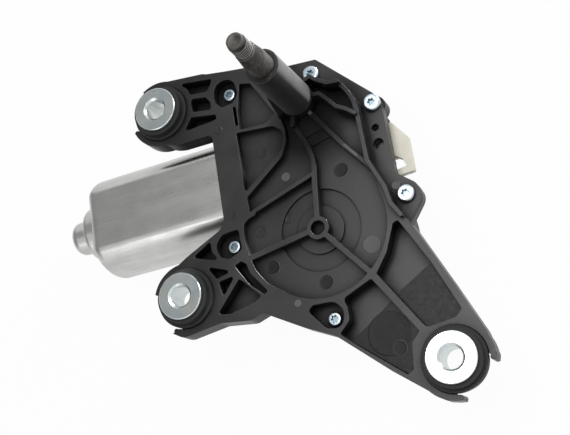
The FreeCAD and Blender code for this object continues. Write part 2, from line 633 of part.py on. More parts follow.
def motor_can():
    """Deep-drawn can, flat on two sides, with a rolled rim and the stepped bearing boss."""
    def cup(r, x0, x1, bend):
        body = along_x(r, x0, x1)
        return body.makeFillet(bend, [e for e in body.Edges if e.BoundBox.XMax < x0 + 0.01])

    def drawn(shrink, x0, x1):
        body = can_prism(shrink, x0, x1)
        end = [e for e in body.Edges if e.BoundBox.XMax < x0 + 0.01]
        return body.makeFillet(CAN_END_ROUND - shrink, end)

    outer = [drawn(0.0, CAN_END_X, CAN_MOUTH_X)]
    inner = [drawn(CAN_WALL, CAN_END_X + CAN_WALL, CAN_MOUTH_X + 1)]
    rim = can_prism(-CAN_RIM_OUT, CAN_MOUTH_X - CAN_RIM_T, CAN_MOUTH_X)
    outer.append(rim.common(block(-80, 10, -90, 40, REST_Z, 0)))
    x = CAN_END_X
    for (r, length), bend in zip(END_BOSS, END_BOSS_ROUND):
        outer.append(cup(r, x - length, x + 2.0, bend))
        inner.append(cup(r - CAN_WALL, x - length + CAN_WALL, x + 3.0, bend - CAN_WALL))
        x -= length
    return cut(fuse(outer), [fuse(inner)])


CAN_BEARING_X = CAN_END_X - END_BOSS[0][1] + CAN_WALL - 2.5


def wheel_shape():
    """Moulded worm wheel with helical teeth, web and hub, its bore running on the axle."""
    z0 = MOTOR_Z - WHEEL_W / 2
    lead = MODULE_W / 2 / WORM_R
    pitch_r = WHEEL_TEETH * MODULE_W / 2
    twist = math.degrees(lead * WHEEL_W / pitch_r)
    space_up = 90.0 + 180.0 / WHEEL_TEETH
    pressure = math.radians(20)
    low = gear_wire(HUB, WHEEL_TEETH, MODULE_W, pressure, WORM_BACKLASH, z0, space_up - twist / 2)
    top = gear_wire(HUB, WHEEL_TEETH, MODULE_W, pressure, WORM_BACKLASH, z0 + WHEEL_W, space_up + twist / 2)
    body = Part.makeLoft([low, top], True, True)
    web = [
        disc(HUB, WEB_R, z0 + WEB_DEPTH, z0 + WHEEL_W + 1).cut(disc(HUB, WHEEL_HUB_R, z0, z0 + 2 * WHEEL_W)),
        disc(HUB, AXLE_R + RUN, z0 - 1, z0 + WHEEL_W + 1),
        disc(crank_place(), CRANK_PIN_R, z0 - 1, z0 + WHEEL_W + 1),
    ]
    return cut(body, web)


def geometry():
    """Rest and far positions of the sector drive at the two dead centres of the crank."""
    g = math.hypot(*HUB)
    c = (PINION_TEETH + SECTOR_TEETH) * MODULE_S / 2
    up = math.degrees(math.atan2(-HUB[1], -HUB[0]))
    found = []
    for d in (LINK_LEN + CRANK_R, LINK_LEN - CRANK_R):
        at_shaft = math.degrees(math.acos((g * g + c * c - d * d) / (2 * g * c)))
        at_hub = math.degrees(math.acos((g * g + d * d - c * c) / (2 * g * d)))
        found.append((up + 180 - at_shaft, up + at_hub))
    rocker = found[1][0] - found[0][0]
    link = found[1][1] - found[0][1] - rocker
    output = rocker - link * SECTOR_TEETH / PINION_TEETH
    return {"centre": c, "rocker_rest": found[0][0], "link_rest": found[0][1],
            "rocker_swing": rocker, "link_swing": link, "output_sweep": output}


GEO = geometry()


def crank_place():
    return polar(HUB, CRANK_R, GEO["link_rest"])


def pivot_place():
    return polar((0, 0), GEO["centre"], GEO["rocker_rest"])


def sector_link():
    """Connecting link whose upper end is a toothed sector round the rocker pin."""
    q = pivot_place()
    p = crank_place()
    z1 = LINK_TOP_Z
    z0 = z1 - LINK_T
    face_out = GEO["rocker_rest"] + 180
    tip_r = SECTOR_TEETH * MODULE_S / 2 + 0.9 * MODULE_S
    pressure = math.radians(25)
    wire = gear_wire(q, SECTOR_TEETH, MODULE_S, pressure, SECTOR_BACKLASH, z0, face_out, 0.9, 1.15)
    gear = Part.Face(wire).extrude(V(0, 0, LINK_T))
    first = face_out - SECTOR_MARGIN
    last = face_out - GEO["link_swing"] + SECTOR_MARGIN
    fan = gear.common(sector_plate(q, tip_r + 2, first, last, z0, z1))
    arm = rib([p, q], 2 * LINK_HALF_W, z0, z1)
    eye = [disc(p, LINK_EYE_R, z0, z1), disc(q, LINK_EYE_R, z0, z1)]
    pinion_room = disc((0, 0), PINION_TEETH * MODULE_S / 2 + 1.3 * MODULE_S, z0 - 1, z1 + 1)
    arm = arm.cut(pinion_room)
    body = fuse([fan, arm] + eye)
    return cut(body, [disc(p, CRANK_PIN_R + 0.3, z0 - 1, z1 + 1), disc(q, ROCKER_PIN_R + RUN, z0 - 1, z1 + 1)])


def output_pinion():
    z1 = LINK_TOP_Z
    z0 = z1 - LINK_T
    turn = GEO["rocker_rest"] + 180.0 / PINION_TEETH
    wire = gear_wire((0, 0), PINION_TEETH, MODULE_S, math.radians(25), SECTOR_BACKLASH, z0, turn, 0.9, 1.15)
    body = Part.Face(wire).extrude(V(0, 0, LINK_T))
    body = fuse([body, disc((0, 0), 6.4, z1, z1 + 2.0)])
    return body.cut(disc((0, 0), SHAFT_R, z0 - 1, z1 + 3))


ROCKER_TOP_Z = LINK_TOP_Z - LINK_T - PLATE_GAP
SHAFT_LOW_Z = ROCKER_TOP_Z - ROCKER_T - 1.4


def rocker_plate():
    q = pivot_place()
    z0 = ROCKER_TOP_Z - ROCKER_T
    body = fuse([rib([(0, 0), q], ROCKER_W, z0, ROCKER_TOP_Z), disc((0, 0), ROCKER_EYE_R, z0, ROCKER_TOP_Z),
                 disc(q, ROCKER_TIP_R, z0, ROCKER_TOP_Z)])
    return cut(body, [disc((0, 0), SPIGOT_R + RUN, z0 - 1, 0), disc(q, ROCKER_PIN_R, z0 - 1, 0)])


def output_shaft():
    """Turned shaft: spigot, journal, knurled taper and threaded end."""
    body = fuse([
        disc((0, 0), SPIGOT_R, SHAFT_LOW_Z, ROCKER_TOP_Z + 0.1),
        disc((0, 0), SHAFT_R, ROCKER_TOP_Z + 0.1, TAPER_START_Z),
        Part.makeCone(TAPER_BASE_R - 0.1, TAPER_TOP_R, THREAD_START_Z - TAPER_START_Z, V(0, 0, TAPER_START_Z)),
        disc((0, 0), THREAD_ROOT_R, THREAD_START_Z, SHAFT_TIP_Z - 0.5),
    ])
    chamfer_tip = Part.makeCone(THREAD_ROOT_R, THREAD_ROOT_R - 0.5, 0.5, V(0, 0, SHAFT_TIP_Z - 0.5))
    profile = []
    z = THREAD_START_Z
    turns = int((SHAFT_TIP_Z - THREAD_START_Z - 1.0) / THREAD_PITCH)
    profile.append(V(0, 0, z))
    for k in range(turns):
        base = z + k * THREAD_PITCH
        profile.append(V(THREAD_ROOT_R, 0, base))
        profile.append(V(THREAD_R, 0, base + 0.42 * THREAD_PITCH))
        profile.append(V(THREAD_R, 0, base + 0.58 * THREAD_PITCH))
    top = z + turns * THREAD_PITCH
    profile.append(V(THREAD_ROOT_R, 0, top))
    profile.append(V(0, 0, top))
    profile.append(profile[0])
    ridges = Part.Face(Part.makePolygon(profile)).revolve(V(0, 0, 0), V(0, 0, 1), 360)
    body = fuse([body, chamfer_tip, ridges])
    notches = []
    for k in range(KNURLS):
        t = 360.0 * k / KNURLS
        groove = Part.makeBox(2.0, 0.42, 14.0, V(0, -0.21, -7.0))
        groove.rotate(V(0, 0, 0), V(0, 0, 1), 45)
        slope = math.degrees(math.atan((TAPER_BASE_R - TAPER_TOP_R) / (THREAD_START_Z - TAPER_START_Z)))
        groove.rotate(V(0, 0, 0), V(0, 1, 0), -slope)
        mid_r = 0.5 * (TAPER_BASE_R + TAPER_TOP_R) - KNURL_DEPTH
        groove.translate(V(mid_r, 0, 0.5 * (THREAD_START_Z + TAPER_START_Z)))
        groove.rotate(V(0, 0, 0), V(0, 0, 1), t)
        notches.append(groove)
    band = disc((0, 0), 9.0, TAPER_START_Z + 0.5, THREAD_START_Z - 0.2)
    tools = Part.makeCompound(notches).common(band)
    groove = ring_z((0, 0), SPIGOT_R - 0.7, SPIGOT_R + 1, SHAFT_CLIP_Z, SHAFT_CLIP_Z + CLIP_T)
    return body.cut([tools, groove])


def worm():
    """Single-start worm sleeve pressed on the armature shaft."""
    pitch = math.pi * MODULE_W
    tip = WORM_R + MODULE_W
    root = WORM_R - 1.2 * MODULE_W
    x0 = HUB[0] - pitch * (int(WORM_LEN / 2 / pitch) + 0.75)
    half_root = pitch / 4 - WORM_BACKLASH / 4 + 1.2 * MODULE_W * math.tan(math.radians(20))
    half_tip = pitch / 4 - WORM_BACKLASH / 4 - MODULE_W * math.tan(math.radians(20))
    sink = 0.4
    wide = half_root + sink * math.tan(math.radians(20))
    tooth = Part.makePolygon([
        V(root - sink, 0, -wide), V(tip, 0, -half_tip), V(tip, 0, half_tip), V(root - sink, 0, wide),
        V(root - sink, 0, -wide),
    ])
    turns = int(WORM_LEN / pitch)
    helix = Part.makeHelix(pitch, turns * pitch, WORM_R)
    thread = Part.Wire(helix).makePipeShell([tooth], True, True)
    core = Part.makeCylinder(root, WORM_LEN + 4.0, V(0, 0, -2.0))
    body = core.fuse(thread)
    body = body.cut(Part.makeCylinder(ARM_SHAFT_R, WORM_LEN + 20, V(0, 0, -8)))
    body.rotate(V(0, 0, 0), V(0, 1, 0), 90)
    body.translate(V(x0, MOTOR_Y, MOTOR_Z))
    return body


ARM_END_X = THRUST_X + THRUST_LEN - 2.5
CORE_X = (-100.0, -65.0)
MAGNET_T = 5.65
MAGNET_FIT = 0.05
AIR_GAP = 0.8
CORE_R = CAN_ARC_R - CAN_WALL - MAGNET_FIT - MAGNET_T - AIR_GAP
MAGNET_EDGE = 1.6
MAGNET_HALF = CORE_R - 2.6
SHEET_SCALE = CORE_R / 14.6
COIL_AT_R = 10.2 * SHEET_SCALE
COIL_R = 2.15 * SHEET_SCALE
COIL_ROOM = 0.15
SLOT_HALF = 0.9
SLOT_FROM_R = 11.8 * SHEET_SCALE
MAGNET_CLIP_HALF = 9.0
MAGNET_CLIP_T = 1.0
COMM_X = (-58.0, -47.0)
COMM_R = 7.0
SLOTS = 10
END_TURN_R = 12.8 * SHEET_SCALE
END_TURN_LEN = 4.6


def armature_shaft():
    return along_x(ARM_SHAFT_R, CAN_BEARING_X - 5.0, ARM_END_X)


def rotor_core():
    """Stack of slotted sheets."""
    body = along_x(CORE_R, CORE_X[0], CORE_X[1])
    tools = [along_x(ARM_SHAFT_R, -130, 0)]
    for k in range(SLOTS):
        slot = block(CORE_X[0] - 1, CORE_X[1] + 1, -SLOT_HALF, SLOT_HALF, SLOT_FROM_R, CORE_R + 1)
        at = V(CORE_X[0] - 1, 0, COIL_AT_R)
        pocket = Part.makeCylinder(COIL_R + COIL_ROOM, CORE_X[1] - CORE_X[0] + 2, at, V(1, 0, 0))
        tool = slot.fuse(pocket)
        tool.rotate(V(0, 0, 0), V(1, 0, 0), 360.0 * k / SLOTS)
        tool.translate(V(0, MOTOR_Y, MOTOR_Z))
        tools.append(tool)
    return cut(body, tools)


def rotor_windings():
    """Copper coils in the slots, joined by the end turns each side of the core."""
    coils = []
    for k in range(SLOTS):
        at = V(CORE_X[0] - 1, 0, COIL_AT_R)
        coil = Part.makeCylinder(COIL_R, CORE_X[1] - CORE_X[0] + 2, at, V(1, 0, 0))
        coil.rotate(V(0, 0, 0), V(1, 0, 0), 360.0 * k / SLOTS)
        coil.translate(V(0, MOTOR_Y, MOTOR_Z))
        coils.append(coil)
    for x, way in ((CORE_X[0] - 0.2, -1), (CORE_X[1] + 0.2, 1)):
        end_x = x + way * END_TURN_LEN
        ring = along_x(END_TURN_R, min(x, end_x), max(x, end_x))
        edges = [e for e in ring.Edges if abs(e.BoundBox.XMin - end_x) < 0.01]
        coils.append(ring.makeFillet(3.0, edges).cut(along_x(ARM_SHAFT_R, -140, 0)))
    return fuse(coils)


def commutator():
    body = along_x(COMM_R, COMM_X[0], COMM_X[1]).cut(along_x(ARM_SHAFT_R, -140, 0))
    tools = []
    for k in range(SLOTS):
        slot = block(COMM_X[0] + 1, COMM_X[1] + 1, -0.3, 0.3, COMM_R - 0.8, COMM_R + 1)
        slot.rotate(V(0, 0, 0), V(1, 0, 0), 360.0 * (k + 0.5) / SLOTS)
        slot.translate(V(0, MOTOR_Y, MOTOR_Z))
        tools.append(slot)
    return cut(body, tools)


def field_magnets():
    """Two arc magnets against the round sides of the can."""
    x0, x1 = CORE_X[0] - 2, CORE_X[1] + 2
    ring = can_prism(CAN_WALL + MAGNET_FIT, x0, x1).cut(along_x(CORE_R + AIR_GAP, x0 - 1, x1 + 1))
    keep = []
    for side in (-1, 1):
        near = MOTOR_Y + side * (CORE_R - MAGNET_EDGE)
        far = MOTOR_Y + side * (CAN_ARC_R + CAN_ARC_OFF)
        box = block(x0, x1, min(near, far), max(near, far), MOTOR_Z - MAGNET_HALF, MOTOR_Z + MAGNET_HALF)
        keep.append(ring.common(box))
    return Part.makeCompound(keep)


def magnet_clips():
    """Spring clips in the flats that push the magnets apart."""
    made = []
    for side in (-1, 1):
        z = MOTOR_Z + side * (CAN_FLAT - CAN_WALL - MAGNET_CLIP_T / 2)
        low, high = z - MAGNET_CLIP_T / 2, z + MAGNET_CLIP_T / 2
        y0, y1 = MOTOR_Y - MAGNET_CLIP_HALF, MOTOR_Y + MAGNET_CLIP_HALF
        made.append(block(CORE_X[0], CORE_X[1], y0, y1, low, high))
    return Part.makeCompound(made)


def brush_gear():
    """Card, holders, brushes, springs and chokes at the can's mouth."""
    x0 = CAN_MOUTH_X - 0.6
    low_x = x0 - 2.0
    card = can_prism(CAN_WALL + 2.3, low_x, x0).cut(along_x(COMM_R + 1.6, low_x - 1, x0 + 1))
    holders, brushes, springs, chokes = [], [], [], []
    for side in (-1, 1):
        y_in = MOTOR_Y + side * (COMM_R + 1.0)
        y_out = MOTOR_Y + side * 17.0
        ya, yb = min(y_in, y_out), max(y_in, y_out)
        box = block(low_x - 7.0, low_x, ya, yb, MOTOR_Z - 4.0, MOTOR_Z + 4.0)
        hollow = block(low_x - 6.4, low_x - 0.6, ya - 1, yb + 1, MOTOR_Z - 3.4, MOTOR_Z + 3.4)
        holders.append(box.cut(hollow))
        b_in = MOTOR_Y + side * (COMM_R + 0.05)
        b_out = MOTOR_Y + side * 13.0
        near, far = min(b_in, b_out), max(b_in, b_out)
        brush = block(low_x - 6.2, low_x - 0.8, near, far, MOTOR_Z - 3.2, MOTOR_Z + 3.2)
        brushes.append(brush.cut(along_x(COMM_R + 0.05, -80, -30)))
        s_in = b_out + side * 0.1
        outward = V(0, side, 0)
        spring = Part.makeCylinder(2.2, 3.4, V(low_x - 3.5, s_in, MOTOR_Z), outward)
        springs.append(spring.cut(Part.makeCylinder(1.5, 5, V(low_x - 3.5, s_in - side, MOTOR_Z), outward)))
        place = V(low_x - 2.4, MOTOR_Y - 5.5, MOTOR_Z + side * 12.2)
        core = Part.makeCylinder(1.5, 11.0, place, V(0, 1, 0))
        turns = [core]
        for k in range(7):
            ring = Part.makeTorus(1.8, 0.6, place + V(0, 1.4 + 1.35 * k, 0), V(0, 1, 0))
            turns.append(ring)
        chokes.append(fuse(turns))
    return card, holders, brushes, springs, chokes


def case_bearing():
    """Flanged bush of the armature in the wall between the motor and the gears."""
    wall = GEAR_ROOM[0][0]
    body = fuse([along_x(BEARING_R, wall - 3.4, wall + 0.5), along_x(BEARING_R + 1.6, wall, wall + 1.4)])
    return body.cut(along_x(ARM_SHAFT_R + RUN, wall - 10, wall + 10))


def can_bearing():
    """Spherical sintered bush in the boss of the can, and the disc that holds it."""
    r = END_BOSS[1][0] - CAN_WALL - 0.1
    x = CAN_BEARING_X
    bore = ARM_SHAFT_R + RUN
    edge = math.sqrt(r * r - 16.0)
    p = [V(x - 4, bore, 0), V(x - 4, edge, 0), V(x, r, 0), V(x + 4, edge, 0), V(x + 4, bore, 0)]
    profile = Part.Wire([Part.makeLine(p[0], p[1]), Part.Arc(p[1], p[2], p[3]).toShape(),
                         Part.makeLine(p[3], p[4]), Part.makeLine(p[4], p[0])])
    ball = Part.Face(profile).revolve(V(0, 0, 0), V(1, 0, 0), 360)
    ball.translate(V(0, MOTOR_Y, MOTOR_Z))
    ring_r = END_BOSS[0][0] - END_BOSS_ROUND[0] - 0.05
    ring = along_x(ring_r, x + 2.55, x + 3.35).cut(along_x(6.1, x, x + 5))
    notches = []
    for k in range(6):
        notch = block(x, x + 5, -0.9, 0.9, 5.0, 8.6)
        notch.rotate(V(0, 0, 0), V(1, 0, 0), 60.0 * k)
        notch.translate(V(0, MOTOR_Y, MOTOR_Z))
        notches.append(notch)
    return ball, cut(ring, notches)


def thrust_button():
    return along_x(ARM_SHAFT_R - 0.1, ARM_END_X + 0.05, THRUST_X + THRUST_LEN - 1.5)


def ring_z(place, r_in, r_out, z0, z1):
    return disc(place, r_out, z0, z1).cut(disc(place, r_in, z0 - 1, z1 + 1))


def open_clip(place, groove_r, r_out, z0, z1, turn):
    """Open retaining clip pushed into a groove from the side."""
    clip = ring_z(place, groove_r, r_out, z0, z1)
    mouth = block(0, r_out + 2, -0.8 * groove_r, 0.8 * groove_r, z0 - 1, z1 + 1)
    mouth.rotate(V(0, 0, 0), V(0, 0, 1), turn)
    mouth.translate(V(place[0], place[1], 0))
    return clip.cut(mouth)


# Fixed and moving small parts of the gear train
WHEEL_Z = (MOTOR_Z - WHEEL_W / 2, MOTOR_Z + WHEEL_W / 2)
WEB_Z = WHEEL_Z[0] + WEB_DEPTH
AXLE_CLIP_Z = WHEEL_Z[0] - 0.2 - CLIP_T
AXLE_LOW_Z = AXLE_CLIP_Z - 1.0
TRACK_R = (WHEEL_HUB_R + TRACK_INNER, WEB_R - TRACK_EDGE)
LEAD_T = 0.8
LEAD_W = 2.0


def wheel_axle():
    pin = disc(HUB, AXLE_R, AXLE_LOW_Z, SEAT_Z + 0.5)
    return pin.cut(ring_z(HUB, AXLE_R - 0.8, AXLE_R + 1, AXLE_CLIP_Z, AXLE_CLIP_Z + CLIP_T))


def axle_clip():
    return open_clip(HUB, AXLE_R - 0.8, AXLE_R + 1.2, AXLE_CLIP_Z, AXLE_CLIP_Z + CLIP_T, -90)


def crank_pin():
    """Steel crank pin pressed in the wheel; it stops just above the eye of the link."""
    return disc(crank_place(), CRANK_PIN_R, LINK_TOP_Z + 0.3, WEB_Z - 0.5)


def park_track():
    """Brass contact ring on the wheel, with the gap that marks the parked position."""
    ring = ring_z(HUB, TRACK_R[0], TRACK_R[1], WEB_Z, WEB_Z + TRACK_T)
    gap = sector_plate(HUB, TRACK_R[1] + 1, 52, 74, WEB_Z - 1, WEB_Z + 2)
    gap = gap.cut(disc(HUB, TRACK_R[0] + 4.0, WEB_Z - 2, WEB_Z + 3))
    return ring.cut(gap)


def contact_carrier():
    """Moulded block under the front housing that carries the three contact springs."""
    body = block(8.0, 22.0, -46.5, -37.5, WHEEL_Z[1] + 1.6, LID_INNER_Z)
    hollow = block(10.0, 20.0, -45.0, -39.0, WHEEL_Z[1] + 3.6, LID_INNER_Z - 2.0)
    return cut(body, [hollow])


def park_contacts():
    """Three bronze springs whose tips stand just over the contact ring."""
    made = []
    z = WHEEL_Z[1] + 1.6
    tip_z = WEB_Z + TRACK_T + 0.3
    for y in (-44.8, -42.0, -39.2):
        line = [V(12.0, y, z), V(12.0, y, z - 0.5), V(5.4, y, z - 0.5), V(2.4, y, tip_z), V(1.8, y, tip_z + 0.3),
                V(5.0, y, z), V(12.0, y, z)]
        made.append(Part.Face(Part.makePolygon(line)).extrude(V(0, 1.4, 0)).translated(V(0, -0.7, 0)))
    return Part.makeCompound(made)


def lead_window():
    """Slot in the wall of the rear case for the two motor leads."""
    y0, y1 = lead_places()[0] - 1.6, lead_places()[1] + 1.6
    wall = GEAR_ROOM[0][0]
    return block(wall - 12.0, wall + 1.0, y0, y1, LEAD_LOW_Z - 0.6, LEAD_LOW_Z + LEAD_T + 0.6)


LEAD_LOW_Z = -19.8


def lead_places():
    return terminal_places()[:2]


def motor_leads():
    """Copper strips from the brush card, along the housing, down to two terminals."""
    made = []
    x_left = GEAR_ROOM[0][0] + 2.0
    x_right = CONN_X[0] - 5.6
    top = LID_INNER_Z
    for y in lead_places():
        y0, y1 = y - LEAD_W / 2, y + LEAD_W / 2
        made.append(fuse([
            block(CAN_MOUTH_X - 0.6, x_left + LEAD_T, y0, y1, LEAD_LOW_Z, LEAD_LOW_Z + LEAD_T),
            block(x_left, x_left + LEAD_T, y0, y1, LEAD_LOW_Z, top),
            block(x_left, x_right + LEAD_T, y0, y1, top - LEAD_T, top),
            block(x_right, x_right + LEAD_T, y0, y1, TERMINAL_Z + TERMINAL_T / 2, top),
        ]))
    return Part.makeCompound(made)


def shaft_bushes():
    """Two sintered bushes in the tube, and the lip seal over the upper one."""
    r_out = SHAFT_R + BUSH_WALL
    top = TUBE_TOP_Z - SEAL_T
    upper = ring_z((0, 0), SHAFT_R + RUN, r_out, top - SHAFT_BUSH_LEN, top)
    lower = ring_z((0, 0), SHAFT_R + RUN, r_out, LID_INNER_Z, LID_INNER_Z + SHAFT_BUSH_LEN)
    seal = ring_z((0, 0), SHAFT_R + 0.06, r_out, top, TUBE_TOP_Z - 0.4)
    return upper, lower, seal


def thrust_collar():
    """Steel collar pressed on the shaft under the front housing."""
    return ring_z((0, 0), SHAFT_R, SHAFT_R + 3.0, LID_INNER_Z - 2.2, LID_INNER_Z - 0.1)


SHAFT_CLIP_Z = ROCKER_TOP_Z - ROCKER_T - 0.1 - CLIP_T


def shaft_clip():
    return open_clip((0, 0), SPIGOT_R - 0.7, SPIGOT_R + 1.6, SHAFT_CLIP_Z, SHAFT_CLIP_Z + CLIP_T, 20)


def rocker_pin():
    """Pin riveted in the rocker plate; the sector turns on it."""
    q = pivot_place()
    body = fuse([disc(q, ROCKER_PIN_R, ROCKER_TOP_Z - ROCKER_T, LINK_TOP_Z + 1.6)])
    groove_z = LINK_TOP_Z + 0.2
    return body.cut(ring_z(q, ROCKER_PIN_R - 0.5, ROCKER_PIN_R + 1, groove_z, groove_z + CLIP_T))


def pin_clip():
    return open_clip(pivot_place(), ROCKER_PIN_R - 0.5, ROCKER_PIN_R + 1.8, LINK_TOP_Z + 0.2,
                     LINK_TOP_Z + 0.2 + CLIP_T, 120)


# Connector under the right flange
CONN_X = (26.3, 38.8)
CONN_Y = (-29.0, -16.2)
CONN_Z = (-32.5, -23.5)
CONN_PLATE_TOP_Z = -20.8
CONN_ROOF_Z = -26.4
CONN_WALL = 1.5
PINS = 5
TERMINAL_T = 0.8
TERMINAL_W = 1.2
TERMINAL_Z = -25.0
BLADE_X = 31.0
BLADE_LOW_Z = -31.5
CONN_CORNER = [(34.6, -16.2), (38.8, -22.6)]
CONN_PLATE = [
    (26.3, -16.2), (34.8, -16.2), (40.9, -25.0), (40.7, -40.2), (33.4, -40.6), (26.3, -39.0),
]
CONN_WINDOW = [(28.4, -30.4), (33.6, -31.6), (36.4, -33.6), (37.8, -37.2), (33.4, -37.8), (28.4, -36.8)]


def terminal_places():
    step = (CONN_Y[1] - CONN_Y[0] - 2 * CONN_WALL) / PINS
    return [CONN_Y[0] + CONN_WALL + step * (k + 0.5) for k in range(PINS)]


def connector_tongue(room):
    """Root of the socket, where it passes through the wall of the rear case."""
    return block(GEAR_ROOM[8][0] - 0.5, CONN_X[0] + 0.5, CONN_Y[0] + 1.0 - room, CONN_Y[1] - 1.0 + room,
                 TERMINAL_Z - 2.4 - room, TERMINAL_Z + 2.4 + room)


def connector_shell():
    """Natural nylon socket, open to the back, under a plate with a latch window."""
    outline = [(CONN_X[0], CONN_Y[0]), (CONN_X[0], CONN_Y[1])] + CONN_CORNER + [(CONN_X[1], CONN_Y[0])]
    face = Part.Face(rounded_wire(outline, 0.0, CONN_Z[0]))
    inside = face.makeOffset2D(-CONN_WALL)
    body = face.extrude(V(0, 0, CONN_Z[1] - CONN_Z[0]))
    hollow = inside.extrude(V(0, 0, CONN_ROOF_Z - CONN_Z[0]))
    top = plate(CONN_PLATE, CONN_Z[1], CONN_PLATE_TOP_Z, 0.8)
    top = top.cut(plate(CONN_WINDOW, CONN_Z[1] - 1, CONN_PLATE_TOP_Z + 1, 0.5))
    return fuse([body.cut(hollow), top, connector_tongue(0.0)]).cut(terminals())


def terminals():
    """Five blades that stand in the socket, bent at its roof and led through its root."""
    made = []
    half = TERMINAL_T / 2
    for y in terminal_places():
        y0, y1 = y - TERMINAL_W / 2, y + TERMINAL_W / 2
        made.append(fuse([
            block(CONN_X[0] - 5.6, BLADE_X + half, y0, y1, TERMINAL_Z - half, TERMINAL_Z + half),
            block(BLADE_X - half, BLADE_X + half, y0, y1, BLADE_LOW_Z, TERMINAL_Z + half),
        ]))
    return made


def build():
    save(front_housing(), "front_housing")
    save(shaft_tube(), "shaft_tube")
    save(rear_case(), "rear_case")
    save(case_gasket(), "case_gasket")
    save(screws(OUTER_SCREWS, OUTER_HEAD_R), "outer_case_screws")
    save(screws(POCKET_SCREWS, POCKET_HEAD_R), "pocket_case_screws")
    for name, place in BUSH_PLACES.items():
        save(grommet(place), "grommet_" + name)
        save(bush(place), "bush_" + name)
    save(motor_can(), "motor_can")
    save(wheel_shape(), "worm_wheel")
    save(sector_link(), "sector_link")
    save(output_pinion(), "output_pinion")
    save(rocker_plate(), "rocker_plate")
    save(output_shaft(), "output_shaft")
    save(worm(), "worm")
    save(armature_shaft(), "armature_shaft")
    save(rotor_core(), "rotor_core")
    save(rotor_windings(), "rotor_windings")
    save(commutator(), "commutator")
    save(field_magnets(), "field_magnets")
    save(magnet_clips(), "magnet_clips")
    card, holders, brushes, springs, chokes = brush_gear()
    save(card, "brush_card")
    for name, solids in (("brush_holders", holders), ("carbon_brushes", brushes),
                         ("brush_springs", springs), ("choke_coils", chokes)):
        save(Part.makeCompound(solids), name)
    bearing, retainer = can_bearing()
    upper, lower, seal = shaft_bushes()
    for name, shape in (
        ("can_bearing", bearing), ("bearing_retainer", retainer), ("case_bearing", case_bearing()),
        ("thrust_button", thrust_button()), ("wheel_axle", wheel_axle()), ("axle_clip", axle_clip()),
        ("crank_pin", crank_pin()), ("park_track", park_track()), ("contact_carrier", contact_carrier()),
        ("park_contacts", park_contacts()), ("motor_leads", motor_leads()), ("upper_shaft_bush", upper),
        ("lower_shaft_bush", lower), ("shaft_seal", seal), ("thrust_collar", thrust_collar()),
        ("shaft_clip", shaft_clip()), ("rocker_pin", rocker_pin()), ("pin_clip", pin_clip()),
    ):
        save(shape, name)
    save(connector_shell(), "connector_shell")
    save(Part.makeCompound(terminals()), "connector_terminals")


build()
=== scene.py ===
import math
import bpy
import bmesh
from mathutils import Matrix, Vector


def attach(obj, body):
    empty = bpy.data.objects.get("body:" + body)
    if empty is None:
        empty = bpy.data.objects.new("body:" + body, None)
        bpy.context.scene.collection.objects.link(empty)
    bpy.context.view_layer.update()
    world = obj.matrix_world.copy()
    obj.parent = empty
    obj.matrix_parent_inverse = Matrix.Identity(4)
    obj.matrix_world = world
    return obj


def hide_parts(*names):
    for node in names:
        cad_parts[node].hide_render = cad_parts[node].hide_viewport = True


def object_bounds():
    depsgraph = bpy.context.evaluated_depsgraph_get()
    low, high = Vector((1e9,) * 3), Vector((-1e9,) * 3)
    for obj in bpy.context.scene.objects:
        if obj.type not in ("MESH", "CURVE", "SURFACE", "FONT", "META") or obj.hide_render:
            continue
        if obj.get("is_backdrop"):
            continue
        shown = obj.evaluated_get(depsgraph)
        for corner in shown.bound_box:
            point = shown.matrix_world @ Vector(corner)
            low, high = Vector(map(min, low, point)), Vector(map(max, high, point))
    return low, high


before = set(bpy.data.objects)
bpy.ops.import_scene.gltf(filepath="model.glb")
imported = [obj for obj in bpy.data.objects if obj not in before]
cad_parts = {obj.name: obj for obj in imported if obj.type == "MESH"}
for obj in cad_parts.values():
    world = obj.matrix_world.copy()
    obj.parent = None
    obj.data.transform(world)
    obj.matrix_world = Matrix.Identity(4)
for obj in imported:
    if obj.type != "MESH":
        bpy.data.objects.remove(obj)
lo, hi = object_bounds()
MM = 0.001

# The studio.
# The motor lies on its back on a white table. A wide soft lamp hangs overhead, with a
# weaker one at the side, a faint one in front and a narrow one on the shaft tube. The
# grey cards show only in what the metal and the plastics mirror.
scene = bpy.context.scene
scene.view_settings.view_transform = "Standard"

camera_data = bpy.data.cameras.new("photo_camera")
camera_data.sensor_width = 36.0
camera_data.lens = 63.158
camera_data.clip_start = 0.01
camera_data.clip_end = 20.0
camera = bpy.data.objects.new("photo_camera", camera_data)
scene.collection.objects.link(camera)
view_right = Vector((0.91144, -0.15268, -0.38205))
view_up = Vector((0.25865, 0.93478, 0.24349))
view_back = Vector((0.31996, -0.32075, 0.89149))
view_turn = Matrix((view_right, view_up, view_back)).transposed().to_4x4()
camera_place = (0.119497, -0.183989, 0.366282)
camera.matrix_world = Matrix.Translation(camera_place) @ view_turn
scene.camera = camera


def seen_directly(tree):
    """1 for rays from the camera, or by way of metal or glass, and 0 for the light that falls on things."""
    path = tree.nodes.new("ShaderNodeLightPath")
    first = tree.nodes.new("ShaderNodeMath")
    first.operation = "MAXIMUM"
    tree.links.new(path.outputs["Is Camera Ray"], first.inputs[0])
    tree.links.new(path.outputs["Is Glossy Ray"], first.inputs[1])
    both = tree.nodes.new("ShaderNodeMath")
    both.operation = "MAXIMUM"
    tree.links.new(first.outputs[0], both.inputs[0])
    tree.links.new(path.outputs["Is Transmission Ray"], both.inputs[1])
    return both.outputs[0]


